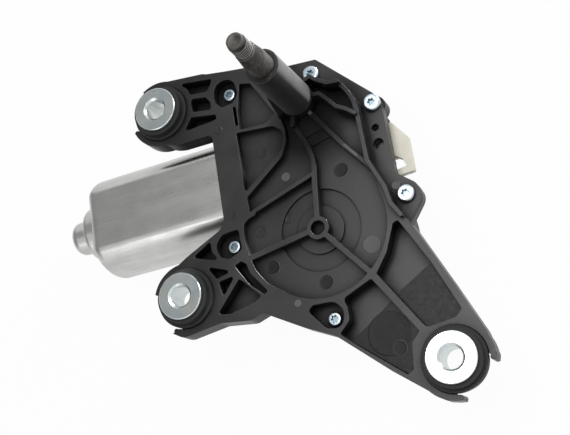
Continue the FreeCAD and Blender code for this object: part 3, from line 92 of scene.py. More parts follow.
world = bpy.data.worlds.new("studio_world")
world.use_nodes = True
scene.world = world
sky = world.node_tree
room_light = sky.nodes["Background"]
room_light.inputs["Color"].default_value = (1.0, 1.0, 1.0, 1.0)
room_light.inputs["Strength"].default_value = 0.34
white_wall = sky.nodes.new("ShaderNodeBackground")
white_wall.inputs["Color"].default_value = (1.0, 1.0, 1.0, 1.0)
white_wall.inputs["Strength"].default_value = 1.0
room_mix = sky.nodes.new("ShaderNodeMixShader")
sky.links.new(seen_directly(sky), room_mix.inputs["Fac"])
sky.links.new(room_light.outputs[0], room_mix.inputs[1])
sky.links.new(white_wall.outputs[0], room_mix.inputs[2])
sky.links.new(room_mix.outputs[0], sky.nodes["World Output"].inputs["Surface"])


def soft_lamp(name, place, aim, size, watts):
    """A square studio lamp at a place, turned towards a point."""
    data = bpy.data.lights.new(name, "AREA")
    data.shape = "SQUARE"
    data.size = size
    data.energy = watts
    lamp = bpy.data.objects.new(name, data)
    scene.collection.objects.link(lamp)
    lamp.location = place
    lamp.rotation_mode = "QUATERNION"
    lamp.rotation_quaternion = (Vector(aim) - Vector(place)).to_track_quat("-Z", "Y")


soft_lamp("overhead_lamp", (0.03, 0.1, 0.85), (0.0, -0.05, 0.0), 0.45, 3.3)
soft_lamp("side_lamp", (0.75, 0.45, 0.35), (0.0, -0.03, 0.0), 0.35, 3.0)
soft_lamp("front_lamp", (-0.35, -0.7, 0.45), (-0.03, -0.05, 0.0), 0.35, 0.5)

tube_middle = Vector((0.0, 0.0, 0.018))
snoot_data = bpy.data.lights.new("tube_snoot", "SPOT")
snoot_data.energy = 105.0
snoot_data.spot_size = math.radians(7.0)
snoot_data.spot_blend = 0.8
snoot_data.shadow_soft_size = 0.03
snoot = bpy.data.objects.new("tube_snoot", snoot_data)
scene.collection.objects.link(snoot)
snoot.location = (0.27, 0.34, 0.075)
snoot.rotation_mode = "QUATERNION"
snoot.rotation_quaternion = (tube_middle - snoot.location).to_track_quat("-Z", "Y")


CARD_X, CARD_TOP = -0.8, 0.85


def grey_card(name, corners, grey):
    """A card of an even grey that only shows in reflections, as a studio flag does."""
    mesh = bpy.data.meshes.new(name)
    mesh.from_pydata(corners, [], [(3, 2, 1, 0)])
    card = bpy.data.objects.new(name, mesh)
    scene.collection.objects.link(card)
    card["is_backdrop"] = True
    for ray in ("camera", "diffuse", "shadow", "transmission", "volume_scatter"):
        setattr(card, "visible_" + ray, False)
    finish = bpy.data.materials.new(name)
    finish.use_nodes = True
    tree = finish.node_tree
    card_glow = tree.nodes.new("ShaderNodeEmission")
    card_glow.inputs["Color"].default_value = (grey, grey, grey, 1.0)
    tree.links.new(card_glow.outputs[0], tree.nodes["Material Output"].inputs["Surface"])
    mesh.materials.append(finish)


def level_corners(x0, x1, y0, y1, z):
    """The corners of a level rectangle."""
    return [(x0, y0, z), (x1, y0, z), (x1, y1, z), (x0, y1, z)]


grey_card("upper_card", level_corners(CARD_X, -0.42, -0.12, 0.7, CARD_TOP), 0.36)
grey_card("inner_card", level_corners(-0.42, -0.26, -0.12, 0.7, CARD_TOP), 0.05)
left_corners = [(CARD_X, y, z) for y, z in ((-0.6, 0.0), (0.7, 0.0), (0.7, CARD_TOP), (-0.6, CARD_TOP))]
grey_card("left_card", left_corners, 0.4)

TABLE_HALF = 4.0
table_mesh = bpy.data.meshes.new("table")
table_corners = level_corners(-TABLE_HALF, TABLE_HALF, -TABLE_HALF, TABLE_HALF, lo.z - 0.0002)
table_mesh.from_pydata(table_corners, [], [(0, 1, 2, 3)])
table = bpy.data.objects.new("table", table_mesh)
scene.collection.objects.link(table)
table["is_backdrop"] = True
table_white = bpy.data.materials.new("table_white")
table_white.use_nodes = True
tree = table_white.node_tree
paper = tree.nodes["Principled BSDF"]
paper.inputs["Base Color"].default_value = (0.86, 0.86, 0.86, 1.0)
paper.inputs["Roughness"].default_value = 0.9
glow = tree.nodes.new("ShaderNodeEmission")
glow.inputs["Color"].default_value = (1.0, 1.0, 1.0, 1.0)
share = tree.nodes.new("ShaderNodeMath")
share.operation = "MULTIPLY"
share.inputs[1].default_value = 0.96
tree.links.new(seen_directly(tree), share.inputs[0])
paper_mix = tree.nodes.new("ShaderNodeMixShader")
tree.links.new(share.outputs[0], paper_mix.inputs["Fac"])
tree.links.new(paper.outputs[0], paper_mix.inputs[1])
tree.links.new(glow.outputs[0], paper_mix.inputs[2])
tree.links.new(paper_mix.outputs[0], tree.nodes["Material Output"].inputs["Surface"])
table_mesh.materials.append(table_white)

# The front housing and its shaft tube.
# One moulding in black glass-filled nylon, with a fine spark-eroded texture and faint flow
# clouds. Its edges are painted lighter, an uneven painted highlight, and its walls and deep corners get less
# specular reflection, a painted shade.


def new_finish(name):
    """A new material, with its node tree, its shader and the coordinates that stay on the piece."""
    finish = bpy.data.materials.new(name)
    finish.use_nodes = True
    nodes = finish.node_tree.nodes
    coords = nodes.new("ShaderNodeTexCoord")
    return finish, finish.node_tree, nodes["Principled BSDF"], coords.outputs["Object"]


def grain(tree, coords, size, detail=3.0, stretch=(1.0, 1.0, 1.0)):
    """Noise with grains about size metres across, drawn out along the axes where stretch is above 1."""
    place = tree.nodes.new("ShaderNodeMapping")
    place.inputs["Scale"].default_value = [1.0 / (size * s) for s in stretch]
    tree.links.new(coords, place.inputs["Vector"])
    texture = tree.nodes.new("ShaderNodeTexNoise")
    texture.inputs["Scale"].default_value = 1.0
    texture.inputs["Detail"].default_value = detail
    tree.links.new(place.outputs[0], texture.inputs["Vector"])
    return texture.outputs["Fac"]


def tint(tree, value, dark, light, low=0.3, high=0.7):
    """A colour that goes from dark to light as the value goes from low to high."""
    ramp = tree.nodes.new("ShaderNodeValToRGB")
    ramp.color_ramp.elements[0].position = low
    ramp.color_ramp.elements[0].color = (*dark, 1.0)
    ramp.color_ramp.elements[1].position = high
    ramp.color_ramp.elements[1].color = (*light, 1.0)
    tree.links.new(value, ramp.inputs["Fac"])
    return ramp.outputs["Color"]


def level(tree, value, least, most, low=0.3, high=0.7):
    """A number that goes from least to most as the value goes from low to high."""
    ruler = tree.nodes.new("ShaderNodeMapRange")
    ruler.inputs["From Min"].default_value = low
    ruler.inputs["From Max"].default_value = high
    ruler.inputs["To Min"].default_value = least
    ruler.inputs["To Max"].default_value = most
    tree.links.new(value, ruler.inputs["Value"])
    return ruler.outputs["Result"]


def blend_colour(tree, share, first, second):
    """Two colours mixed by a share."""
    mix = tree.nodes.new("ShaderNodeMix")
    mix.data_type = "RGBA"
    tree.links.new(share, mix.inputs[0])
    for socket, value in ((6, first), (7, second)):
        if isinstance(value, tuple):
            mix.inputs[socket].default_value = (*value, 1.0)
        else:
            tree.links.new(value, mix.inputs[socket])
    return mix.outputs[2]


def shaded(tree, colour, shade):
    """A colour multiplied by another."""
    mix = tree.nodes.new("ShaderNodeMix")
    mix.data_type = "RGBA"
    mix.blend_type = "MULTIPLY"
    mix.inputs[0].default_value = 1.0
    tree.links.new(colour, mix.inputs[6])
    tree.links.new(shade, mix.inputs[7])
    return mix.outputs[2]


def times(tree, first, second):
    """Two numbers multiplied."""
    product = tree.nodes.new("ShaderNodeMath")
    product.operation = "MULTIPLY"
    tree.links.new(first, product.inputs[0])
    tree.links.new(second, product.inputs[1])
    return product.outputs[0]


def openness(tree, reach_mm):
    """How open a place is, 0 deep in a corner or recess and 1 on open ground, within a reach."""
    hollow = tree.nodes.new("ShaderNodeAmbientOcclusion")
    hollow.samples = 8
    hollow.inputs["Distance"].default_value = reach_mm * MM
    return hollow.outputs["AO"]


def rounded_edges(tree, radius):
    """The surface's direction with its edges rounded by a radius, and how near an edge is."""
    soft = tree.nodes.new("ShaderNodeBevel")
    soft.samples = 6
    soft.inputs["Radius"].default_value = radius
    plain = tree.nodes.new("ShaderNodeNewGeometry")
    same = tree.nodes.new("ShaderNodeVectorMath")
    same.operation = "DOT_PRODUCT"
    tree.links.new(soft.outputs["Normal"], same.inputs[0])
    tree.links.new(plain.outputs["Normal"], same.inputs[1])
    return soft.outputs["Normal"], level(tree, same.outputs["Value"], 1.0, 0.0, 0.80, 0.985)


def relief(tree, shader, value, depth, normal=None):
    """Fine relief of a depth in metres on the shader, over a direction that may be rounded."""
    bump = tree.nodes.new("ShaderNodeBump")
    bump.inputs["Strength"].default_value = 1.0
    bump.inputs["Distance"].default_value = depth
    tree.links.new(value, bump.inputs["Height"])
    if normal is not None:
        tree.links.new(normal, bump.inputs["Normal"])
    tree.links.new(bump.outputs["Normal"], shader.inputs["Normal"])


LEVEL_GLOSS = 0.44
WALL_SHADE_GLOSS = 0.45


def black_nylon(name, dark, light, edge, roughness, wall_shade_gloss=WALL_SHADE_GLOSS, painted_shade_spots=()):
    """Moulded black nylon: spark texture, flow clouds, a painted edge highlight, and painted shade on walls,
    in hollows and at spots.
    """
    finish, tree, shader, coords = new_finish(name)
    normal, near_edge = rounded_edges(tree, 0.35 * MM)
    clouds = grain(tree, coords, 22 * MM, 4.0, (1.6, 1.0, 1.0))
    specks = grain(tree, coords, 0.5 * MM, 2.0)
    fibres = tint(tree, specks, (0.82, 0.82, 0.82), (1.2, 1.2, 1.2), 0.35, 0.65)
    body = shaded(tree, tint(tree, clouds, dark, light), fibres)
    # Painted highlight: the edges are painted a lighter colour, unevenly.
    lighter_edges = times(tree, near_edge, level(tree, grain(tree, coords, 5 * MM, 2.0), 0.25, 0.9))
    tree.links.new(blend_colour(tree, lighter_edges, body, edge), shader.inputs["Base Color"])
    tree.links.new(level(tree, clouds, roughness - 0.05, roughness + 0.06), shader.inputs["Roughness"])
    facing = tree.nodes.new("ShaderNodeSeparateXYZ")
    tree.links.new(coords.node.outputs["Normal"], facing.inputs[0])
    # Painted shade: walls get less specular reflection than level faces, so they render darker.
    gloss = level(tree, facing.outputs["Z"], wall_shade_gloss, LEVEL_GLOSS, 0.3, 0.8)
    # Painted shade: less specular reflection in corners and recesses.
    gloss = times(tree, gloss, level(tree, openness(tree, 6.5), 0.1, 1.0, 0.35, 0.92))
    # Painted shade: each spot cuts the specular reflection towards its middle, darkening the floor there.
    for place, inner, outer in painted_shade_spots:
        from_spot = tree.nodes.new("ShaderNodeVectorMath")
        from_spot.operation = "DISTANCE"
        tree.links.new(coords, from_spot.inputs[0])
        from_spot.inputs[1].default_value = [c * MM for c in place]
        spot_shade = level(tree, from_spot.outputs["Value"], 0.15, 1.0, inner * MM, outer * MM)
        gloss = times(tree, gloss, spot_shade)
    tree.links.new(gloss, shader.inputs["Specular IOR Level"])
    relief(tree, shader, grain(tree, coords, 0.16 * MM, 2.0), 0.012 * MM, normal)
    return finish


def dress(finish, *names):
    """Gives a finish to CAD nodes."""
    for name in names:
        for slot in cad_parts[name].material_slots:
            slot.material = finish


NYLON_DARK, NYLON_LIGHT, NYLON_EDGE_HIGHLIGHT = (0.0105, 0.010, 0.0105), (0.016, 0.0155, 0.016), (0.05, 0.049, 0.05)
# Painted shade on the floors by the tube's foot, where the tube shades them: each spot's middle and its inner
# and outer radius.
painted_shade_by_tube = [((0.0, -15.0, -10.0), 7.0, 20.0), ((15.0, -3.0, -10.0), 5.0, 17.0)]
housing_black = black_nylon("housing_black", NYLON_DARK, NYLON_LIGHT, NYLON_EDGE_HIGHLIGHT, 0.33, 0.12, painted_shade_by_tube)
dress(housing_black, "front_housing")
tube_black = black_nylon("tube_black", NYLON_DARK, NYLON_LIGHT, NYLON_EDGE_HIGHLIGHT, 0.4)
tube_skin = tube_black.node_tree.nodes["Principled BSDF"]
tube_skin.inputs["Sheen Weight"].default_value = 0.16
tube_skin.inputs["Sheen Roughness"].default_value = 0.4
dress(tube_black, "shaft_tube")

# Ejector marks and insert faces of the front housing.
# Round pins pushed the moulding out of its tool and left discs that are a hair proud, here as
# x, y, radius and floor. Two tool inserts left smooth darker faces on the arm's floors.
POCKET_FLOOR = -10.2
RING_FLOOR = -11.2
ARM_FLOOR = -13.0
LAND = -6.5
FLANGE_TOP = -12.0
pin_marks_smooth = [
    (12.4, -35.1, 3.3, POCKET_FLOOR), (-24.3, -68.6, 3.2, POCKET_FLOOR), (-2.2, -80.4, 3.2, POCKET_FLOOR),
    (21.9, -113.0, 3.3, ARM_FLOOR + 0.06),
]
pin_marks_faint = [
    (-21.0, -17.1, 2.5, POCKET_FLOOR), (-27.1, -51.9, 2.7, POCKET_FLOOR), (-37.1, -42.8, 1.8, LAND),
    (-38.3, -2.1, 1.8, LAND), (-14.6, -49.4, 1.8, RING_FLOOR),
]
pin_marks_pale = [
    (19.3, -69.8, 3.7, POCKET_FLOOR), (-12.3, -30.9, 1.9, POCKET_FLOOR), (-14.8, -87.1, 1.5, LAND),
    (33.5, -47.6, 1.8, FLANGE_TOP),
]


def select_only(obj):
    """Deselects all and makes one object the selected and active one."""
    bpy.ops.object.select_all(action="DESELECT")
    obj.select_set(True)
    bpy.context.view_layer.objects.active = obj


def settle(obj, name, body, slot_name, *finishes):
    """Moves an object's place into its mesh, names it, and gives it its body and any finish named. The slot
    name is not used.
    """
    select_only(obj)
    bpy.ops.object.transform_apply(location=True, rotation=True, scale=True)
    obj.name = name
    obj.data.name = name
    if finishes:
        obj.data.materials.clear()
    for finish in finishes:
        obj.data.materials.append(finish)
    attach(obj, body)
    return obj


def join_all(objects):
    """Joins objects into the first."""
    bpy.ops.object.select_all(action="DESELECT")
    for obj in objects:
        obj.select_set(True)
    bpy.context.view_layer.objects.active = objects[0]
    bpy.ops.object.join()
    return objects[0]


MARK_T, MARK_SUNK = 0.12, 0.03
MARK_RIM, MARK_DISH = 0.25, 0.05


def pin_mark(x, y, radius, floor_z, face_finish, rim_finish):
    """A low disc with a sloped rim and a slightly dished face."""
    bpy.ops.object.select_all(action="DESELECT")
    place = (x * MM, y * MM, (floor_z + MARK_SUNK) * MM)
    bpy.ops.mesh.primitive_cylinder_add(vertices=40, radius=radius * MM, depth=MARK_T * MM, location=place)
    disc = bpy.context.object
    bpy.ops.object.mode_set(mode="EDIT")
    bpy.ops.mesh.select_all(action="DESELECT")
    mesh = bmesh.from_edit_mesh(disc.data)
    for face in mesh.faces:
        face.select_set(face.normal.z > 0.9)
    bpy.ops.mesh.inset(thickness=MARK_RIM * MM, depth=MARK_DISH * MM)
    bpy.ops.mesh.inset(thickness=0.3 * radius * MM, depth=-MARK_DISH * MM)
    bpy.ops.object.mode_set(mode="OBJECT")
    disc.data.materials.append(face_finish)
    disc.data.materials.append(rim_finish)
    for face in disc.data.polygons:
        from_middle = math.hypot(face.center.x, face.center.y)
        face.material_index = 1 if from_middle > (radius - MARK_RIM) * MM else 0
    return disc


def pin_finish(name, dark, light, roughness, gloss):
    """The face that an ejector pin or insert leaves, with a gloss of its own and a lighter rim."""
    finish, tree, shader, coords = new_finish(name)
    normal, near_edge = rounded_edges(tree, 0.2 * MM)
    clouds = grain(tree, coords, 1.5 * MM, 3.0)
    face = tint(tree, clouds, dark, light)
    tree.links.new(blend_colour(tree, near_edge, face, (0.03, 0.03, 0.03)), shader.inputs["Base Color"])
    tree.links.new(level(tree, clouds, roughness - 0.06, roughness + 0.06), shader.inputs["Roughness"])
    tree.links.new(level(tree, near_edge, gloss, 0.5, 0.0, 1.0), shader.inputs["Specular IOR Level"])
    relief(tree, shader, grain(tree, coords, 0.3 * MM, 2.0), 0.006 * MM, normal)
    return finish


smooth_mark = pin_finish("pin_face_smooth", (0.006, 0.006, 0.0065), (0.0095, 0.0095, 0.01), 0.38, 0.2)
faint_mark = pin_finish("pin_face_faint", (0.0085, 0.0082, 0.0082), (0.0125, 0.012, 0.012), 0.4, 0.34)
pale_mark = pin_finish("pin_face_pale", (0.055, 0.055, 0.056), (0.08, 0.08, 0.081), 0.5, 0.5)
mark_rim = pin_finish("pin_rim", (0.03, 0.03, 0.03), (0.045, 0.045, 0.045), 0.4, 0.5)
pale_rim = pin_finish("pin_rim_pale", (0.085, 0.085, 0.086), (0.11, 0.11, 0.111), 0.45, 0.5)
for name, places, face, rim in (
        ("pin_marks_smooth", pin_marks_smooth, smooth_mark, mark_rim),
        ("pin_marks_faint", pin_marks_faint, faint_mark, housing_black),
        ("pin_marks_pale", pin_marks_pale, pale_mark, pale_rim)):
    settle(join_all([pin_mark(*m, face, rim) for m in places]), name, "housing", "housing_nylon")


def low_plate(outline, base_z, height):
    """A thin plate with a narrow rim over an outline in millimetres."""
    mesh = bpy.data.meshes.new("low_plate")
    mesh.from_pydata([(x * MM, y * MM, base_z * MM) for x, y in outline], [], [tuple(range(len(outline)))])
    plate = bpy.data.objects.new("low_plate", mesh)
    scene.collection.objects.link(plate)
    select_only(plate)
    bpy.ops.object.mode_set(mode="EDIT")
    bpy.ops.mesh.select_all(action="SELECT")
    bpy.ops.mesh.normals_make_consistent(inside=False)
    bpy.ops.mesh.extrude_region_move(TRANSFORM_OT_translate={"value": (0, 0, height * MM)})
    bpy.ops.mesh.inset(thickness=0.05 * MM, depth=0.0)
    bpy.ops.mesh.select_all(action="SELECT")
    bpy.ops.mesh.normals_make_consistent(inside=False)
    bpy.ops.object.mode_set(mode="OBJECT")
    return plate


SUNK = 0.02
INSERT_T = 0.08
insert_upper = [
    (40.4, -82.9), (27.0, -90.4), (25.4, -93.0), (34.9, -108.0),
    (38.4, -107.0), (43.6, -106.6), (47.0, -106.8), (49.8, -104.4),
]
insert_lower = [
    (22.5, -93.6), (3.4, -106.2), (8.9, -111.0), (24.5, -124.4),
    (26.8, -123.0), (28.3, -113.1), (32.0, -109.3),
]
insert_face = pin_finish("insert_face", (0.0085, 0.0085, 0.0088), (0.012, 0.012, 0.0123), 0.4, 0.24)
insert_plates = [low_plate(outline, ARM_FLOOR - SUNK, INSERT_T) for outline in (insert_upper, insert_lower)]
inserts = join_all(insert_plates)
settle(inserts, "insert_faces", "housing", "housing_nylon", insert_face)
polished_disc = pin_mark(18.9, -106.4, 9.0, ARM_FLOOR + SUNK, smooth_mark, housing_black)
settle(polished_disc, "insert_disc", "housing", "housing_nylon")

# The glints on the straight rib by the tube.
# The rib is the housing's own black nylon. Two thin plates on its top are painted lighter,
# a painted highlight where the rib's top catches the light.
pad_places = [
    [(2.3, -5.3), (3.9, -4.9), (5.6, -7.5), (4.1, -8.4)],
    [(16.0, -25.9), (17.0, -25.3), (21.9, -32.3), (20.9, -32.9)],
]
PAD_T = 0.1
# Painted highlight: a lighter finish on the plates on the rib's top.
rib_glint_finish = pin_finish("rib_glint_finish", (0.06, 0.06, 0.061), (0.09, 0.09, 0.091), 0.33, 0.5)
rib_glint_pads = join_all([low_plate(place, LAND - SUNK, PAD_T) for place in pad_places])
settle(rib_glint_pads, "rib_glint_pads", "housing", "housing_nylon", rib_glint_finish)

# The rear case and its gasket.
# The case is black nylon like the front; the gasket is a thin grey sheet of fibre and
# rubber that shows as a light line between the two.
case_dark, case_light, case_edge_highlight = (0.0095, 0.0095, 0.01), (0.014, 0.014, 0.0145), (0.04, 0.04, 0.041)
case_black = black_nylon("case_black", case_dark, case_light, case_edge_highlight, 0.44)
dress(case_black, "rear_case")


def soft_matter(name, dark, light, roughness, grain_mm, depth_mm):
    """Rubber or fibre: matt, a little mottled, with a fine skin."""
    finish, tree, shader, coords = new_finish(name)
    clouds = grain(tree, coords, 6 * MM, 4.0)
    tree.links.new(tint(tree, clouds, dark, light), shader.inputs["Base Color"])
    tree.links.new(level(tree, clouds, roughness - 0.06, roughness + 0.06), shader.inputs["Roughness"])
    shader.inputs["Specular IOR Level"].default_value = 0.35
    relief(tree, shader, grain(tree, coords, grain_mm * MM, 3.0), depth_mm * MM)
    return finish


dress(soft_matter("gasket_fibre", (0.2, 0.17, 0.165), (0.34, 0.29, 0.28), 0.8, 0.3, 0.02), "case_gasket")

# The case screws.
# Zinc-plated thread-forming screws with a six-lobe recess; the blue passivated plate is
# bright, a little rippled, and yellowish in places.


def zinc_plate(name, dark, light, warm, roughness, depth_mm, recess):
    """Bright zinc with a bluish pass and warmer clouds, with painted shade in recesses, over fine turning
    marks.
    """
    finish, tree, shader, coords = new_finish(name)
    normal = rounded_edges(tree, 0.15 * MM)[0]
    clouds = grain(tree, coords, 7.0 * MM, 2.0)
    fine = grain(tree, coords, 0.3 * MM, 3.0)
    plate_colour = tint(tree, clouds, dark, light)
    warmth = level(tree, grain(tree, coords, 9.0 * MM, 1.0), 0.0, 0.6, 0.42, 0.7)
    plate_colour = blend_colour(tree, warmth, plate_colour, warm)
    # Painted shade: the colour turns to the recess colour where the surface is hemmed in.
    outside = level(tree, openness(tree, depth_mm), 0.0, 1.0, 0.35, 0.8)
    tree.links.new(blend_colour(tree, outside, recess, plate_colour), shader.inputs["Base Color"])
    shader.inputs["Metallic"].default_value = 1.0
    tree.links.new(level(tree, fine, roughness - 0.04, roughness + 0.05), shader.inputs["Roughness"])
    relief(tree, shader, fine, 0.0015 * MM, normal)
    return finish


# The last colour is the painted shade in the screw's recess.
screw_zinc = zinc_plate(
    "screw_zinc", (0.4, 0.48, 0.55), (0.55, 0.63, 0.68), (0.57, 0.57, 0.52), 0.26, 2.4, (0.2, 0.28, 0.33))
dress(screw_zinc, "outer_case_screws", "pocket_case_screws")

# The mounting bushes and their grommets.
# Each steel bush is turned with a wide flange and zinc-plated; it is pushed into a matt
# black rubber grommet that the housing's open cradle grips.
# The last colour is the painted shade in the bush's hollows.
bush_zinc = zinc_plate(
    "bush_zinc", (0.52, 0.58, 0.59), (0.64, 0.69, 0.7), (0.64, 0.64, 0.57), 0.26, 4.0, (0.3, 0.33, 0.33))
dress(bush_zinc, "bush_upper_left", "bush_lower_left", "bush_lower_right")
grommet_black = soft_matter("grommet_black", (0.011, 0.011, 0.0115), (0.019, 0.019, 0.0195), 0.62, 0.25, 0.02)
dress(grommet_black, "grommet_upper_left", "grommet_lower_left", "grommet_lower_right")

# The motor can.
# Deep-drawn zinc-coated sheet, satin, with streaks along the draw, faint clouds of
# spangle, and folds that the draw has polished and that are painted brighter still, a painted highlight. Its
# spring clips are the same sheet.


def drawn_sheet(name, dark, light, fold_polish_and_highlight, roughness):
    """Satin sheet with fine streaks along X, soft clouds, and folds painted brighter, partly the draw's
    polish and partly a painted highlight.
    """
    finish, tree, shader, coords = new_finish(name)
    normal, near_edge = rounded_edges(tree, 0.5 * MM)
    streaks = grain(tree, coords, 0.3 * MM, 3.0, (50.0, 1.0, 1.0))
    bands = grain(tree, coords, 5.0 * MM, 3.0, (5.0, 1.0, 1.0))
    spangle = grain(tree, coords, 9.0 * MM, 4.0)
    lines = tint(tree, streaks, (0.93, 0.93, 0.93), (1.05, 1.05, 1.05), 0.35, 0.65)
    cloudy = tint(tree, spangle, (0.93, 0.93, 0.92), (1.05, 1.05, 1.05))
    base = shaded(tree, shaded(tree, tint(tree, bands, dark, light), lines), cloudy)
    # Partly painted highlight: edges and folds blend to the brighter colour.
    tree.links.new(blend_colour(tree, near_edge, base, fold_polish_and_highlight), shader.inputs["Base Color"])
    shader.inputs["Metallic"].default_value = 1.0
    tree.links.new(level(tree, bands, roughness + 0.04, roughness - 0.04), shader.inputs["Roughness"])
    relief(tree, shader, streaks, 0.003 * MM, normal)
    return finish


can_satin = drawn_sheet("can_satin", (0.47, 0.475, 0.46), (0.56, 0.565, 0.55), (0.72, 0.73, 0.71), 0.3)
dress(can_satin, "motor_can", "bearing_retainer", "magnet_clips")

# Inside the can: magnets and bearing.
# Two ferrite arcs are held by spring clips; the end bearing is oil-filled sintered bronze.


def dull_solid(name, dark, light, roughness, grain_mm, metal=0.0):
    """A dense matt stuff with a visible grain, such as ferrite, carbon or stacked sheet."""
    finish, tree, shader, coords = new_finish(name)
    specks = grain(tree, coords, grain_mm * MM, 4.0)
    tree.links.new(tint(tree, specks, dark, light), shader.inputs["Base Color"])
    shader.inputs["Metallic"].default_value = metal
    tree.links.new(level(tree, specks, roughness - 0.08, roughness + 0.08), shader.inputs["Roughness"])
    relief(tree, shader, specks, 0.01 * MM)
    return finish


dress(dull_solid("ferrite", (0.02, 0.02, 0.022), (0.045, 0.045, 0.048), 0.6, 0.5), "field_magnets")
sintered_bronze = dull_solid("sintered_bronze", (0.32, 0.2, 0.09), (0.5, 0.34, 0.17), 0.45, 0.35, 1.0)
dress(sintered_bronze, "can_bearing", "case_bearing", "upper_shaft_bush", "lower_shaft_bush")

# The rotor.
# A ground shaft carries a stack of lacquered steel sheets, enamelled copper windings and
# a copper commutator on a black moulding.


def ground_steel(name, dark, light, roughness, lay):
    """Ground or turned steel with fine lines across its axis."""
    finish, tree, shader, coords = new_finish(name)
    lines = grain(tree, coords, 0.14 * MM, 3.0, lay)
    tree.links.new(tint(tree, lines, dark, light), shader.inputs["Base Color"])
    shader.inputs["Metallic"].default_value = 1.0
    tree.links.new(level(tree, lines, roughness - 0.05, roughness + 0.07), shader.inputs["Roughness"])
    relief(tree, shader, lines, 0.004 * MM)
    return finish


ground_x = ground_steel("ground_steel_x", (0.46, 0.47, 0.48), (0.64, 0.65, 0.66), 0.25, (1.0, 14.0, 14.0))
ground_z = ground_steel("ground_steel_z", (0.46, 0.47, 0.48), (0.64, 0.65, 0.66), 0.25, (14.0, 14.0, 1.0))
dress(ground_x, "armature_shaft", "worm")

# The wave texture's scale at which one of its waves is a metre long.
METRE_WAVE = math.pi / 10


def waves(tree, coords, direction, length_mm, wobble):
    """Straight waves of a length along a direction, a little wavy with some wobble."""
    texture = tree.nodes.new("ShaderNodeTexWave")
    texture.wave_type = "BANDS"
    texture.bands_direction = direction
    texture.inputs["Scale"].default_value = METRE_WAVE / (length_mm * MM)
    texture.inputs["Distortion"].default_value = wobble
    tree.links.new(coords, texture.inputs["Vector"])
    return texture.outputs["Fac"]


def stacked_sheets(name, sheet_mm):
    """The rotor's core: dark lacquered sheets stacked along X."""
    finish, tree, shader, coords = new_finish(name)
    seams = waves(tree, coords, "X", sheet_mm, 0.0)
    tree.links.new(tint(tree, seams, (0.05, 0.05, 0.053), (0.2, 0.2, 0.21)), shader.inputs["Base Color"])
    shader.inputs["Metallic"].default_value = 1.0
    tree.links.new(level(tree, grain(tree, coords, 2 * MM), 0.4, 0.6), shader.inputs["Roughness"])
    relief(tree, shader, seams, 0.04 * MM)
    return finish


dress(stacked_sheets("core_sheets", 0.6), "rotor_core")


def copper_wire(name, turn_mm):
    """Enamelled copper laid in turns, warm and glossy."""
    finish, tree, shader, coords = new_finish(name)
    turns = waves(tree, coords, "DIAGONAL", turn_mm, 0.6)
    tree.links.new(tint(tree, turns, (0.2, 0.06, 0.02), (0.62, 0.26, 0.1)), shader.inputs["Base Color"])
    shader.inputs["Metallic"].default_value = 0.9
    tree.links.new(level(tree, grain(tree, coords, 1.5 * MM), 0.22, 0.4), shader.inputs["Roughness"])
    relief(tree, shader, turns, 0.12 * MM)
    return finish


dress(copper_wire("winding_wire", 0.45), "rotor_windings", "choke_coils")
segment_copper = ground_steel("segment_copper", (0.5, 0.23, 0.1), (0.68, 0.36, 0.19), 0.3, (14.0, 1.0, 1.0))
dress(segment_copper, "commutator")

# The brush gear.
# A dark moulded card holds brass brush boxes, two carbon brushes and their springs.


def moulded(name, dark, light, roughness, see_through=0.0):
    """Plain moulded plastic with soft clouds and a fine skin."""
    finish, tree, shader, coords = new_finish(name)
    normal = rounded_edges(tree, 0.2 * MM)[0]
    clouds = grain(tree, coords, 7 * MM, 4.0)
    tree.links.new(tint(tree, clouds, dark, light), shader.inputs["Base Color"])
    tree.links.new(level(tree, clouds, roughness - 0.05, roughness + 0.05), shader.inputs["Roughness"])
    shader.inputs["Subsurface Weight"].default_value = see_through
    shader.inputs["Subsurface Radius"].default_value = (0.002, 0.0018, 0.0014)
    shader.inputs["Subsurface Scale"].default_value = 1.0
    relief(tree, shader, grain(tree, coords, 0.25 * MM, 2.0), 0.006 * MM, normal)
    return finish


dress(moulded("card_brown", (0.03, 0.022, 0.016), (0.05, 0.038, 0.028), 0.5), "brush_card")
sheet_brass = ground_steel("sheet_brass", (0.5, 0.34, 0.12), (0.7, 0.5, 0.2), 0.28, (10.0, 1.0, 1.0))
dress(sheet_brass, "brush_holders", "park_contacts", "motor_leads", "connector_terminals")
dress(dull_solid("brush_carbon", (0.02, 0.019, 0.018), (0.05, 0.045, 0.042), 0.55, 0.3), "carbon_brushes")
dress(ground_z, "brush_springs")

# The worm wheel train.
# A moulded natural nylon wheel turns on a steel axle and carries a crank pin and a
# stamped brass park track.
gear_natural = moulded("gear_natural", (0.62, 0.59, 0.48), (0.76, 0.73, 0.62), 0.42, 0.15)
dress(gear_natural, "worm_wheel", "thrust_button")
dress(ground_z, "wheel_axle", "axle_clip", "crank_pin")
dress(ground_z, "thrust_collar", "shaft_clip", "rocker_pin", "pin_clip")
dress(sheet_brass, "park_track")
dress(moulded("carrier_black", (0.02, 0.02, 0.021), (0.03, 0.03, 0.031), 0.5), "contact_carrier")

# The sector link, rocker and pinion.
# The link and rocker are stamped from thick sheet and the pinion is sintered steel;
# all are left oily and dull.
stamped = ground_steel("stamped_steel", (0.28, 0.28, 0.28), (0.46, 0.46, 0.46), 0.38, (30.0, 1.0, 30.0))
dress(stamped, "sector_link", "rocker_plate", "output_pinion")

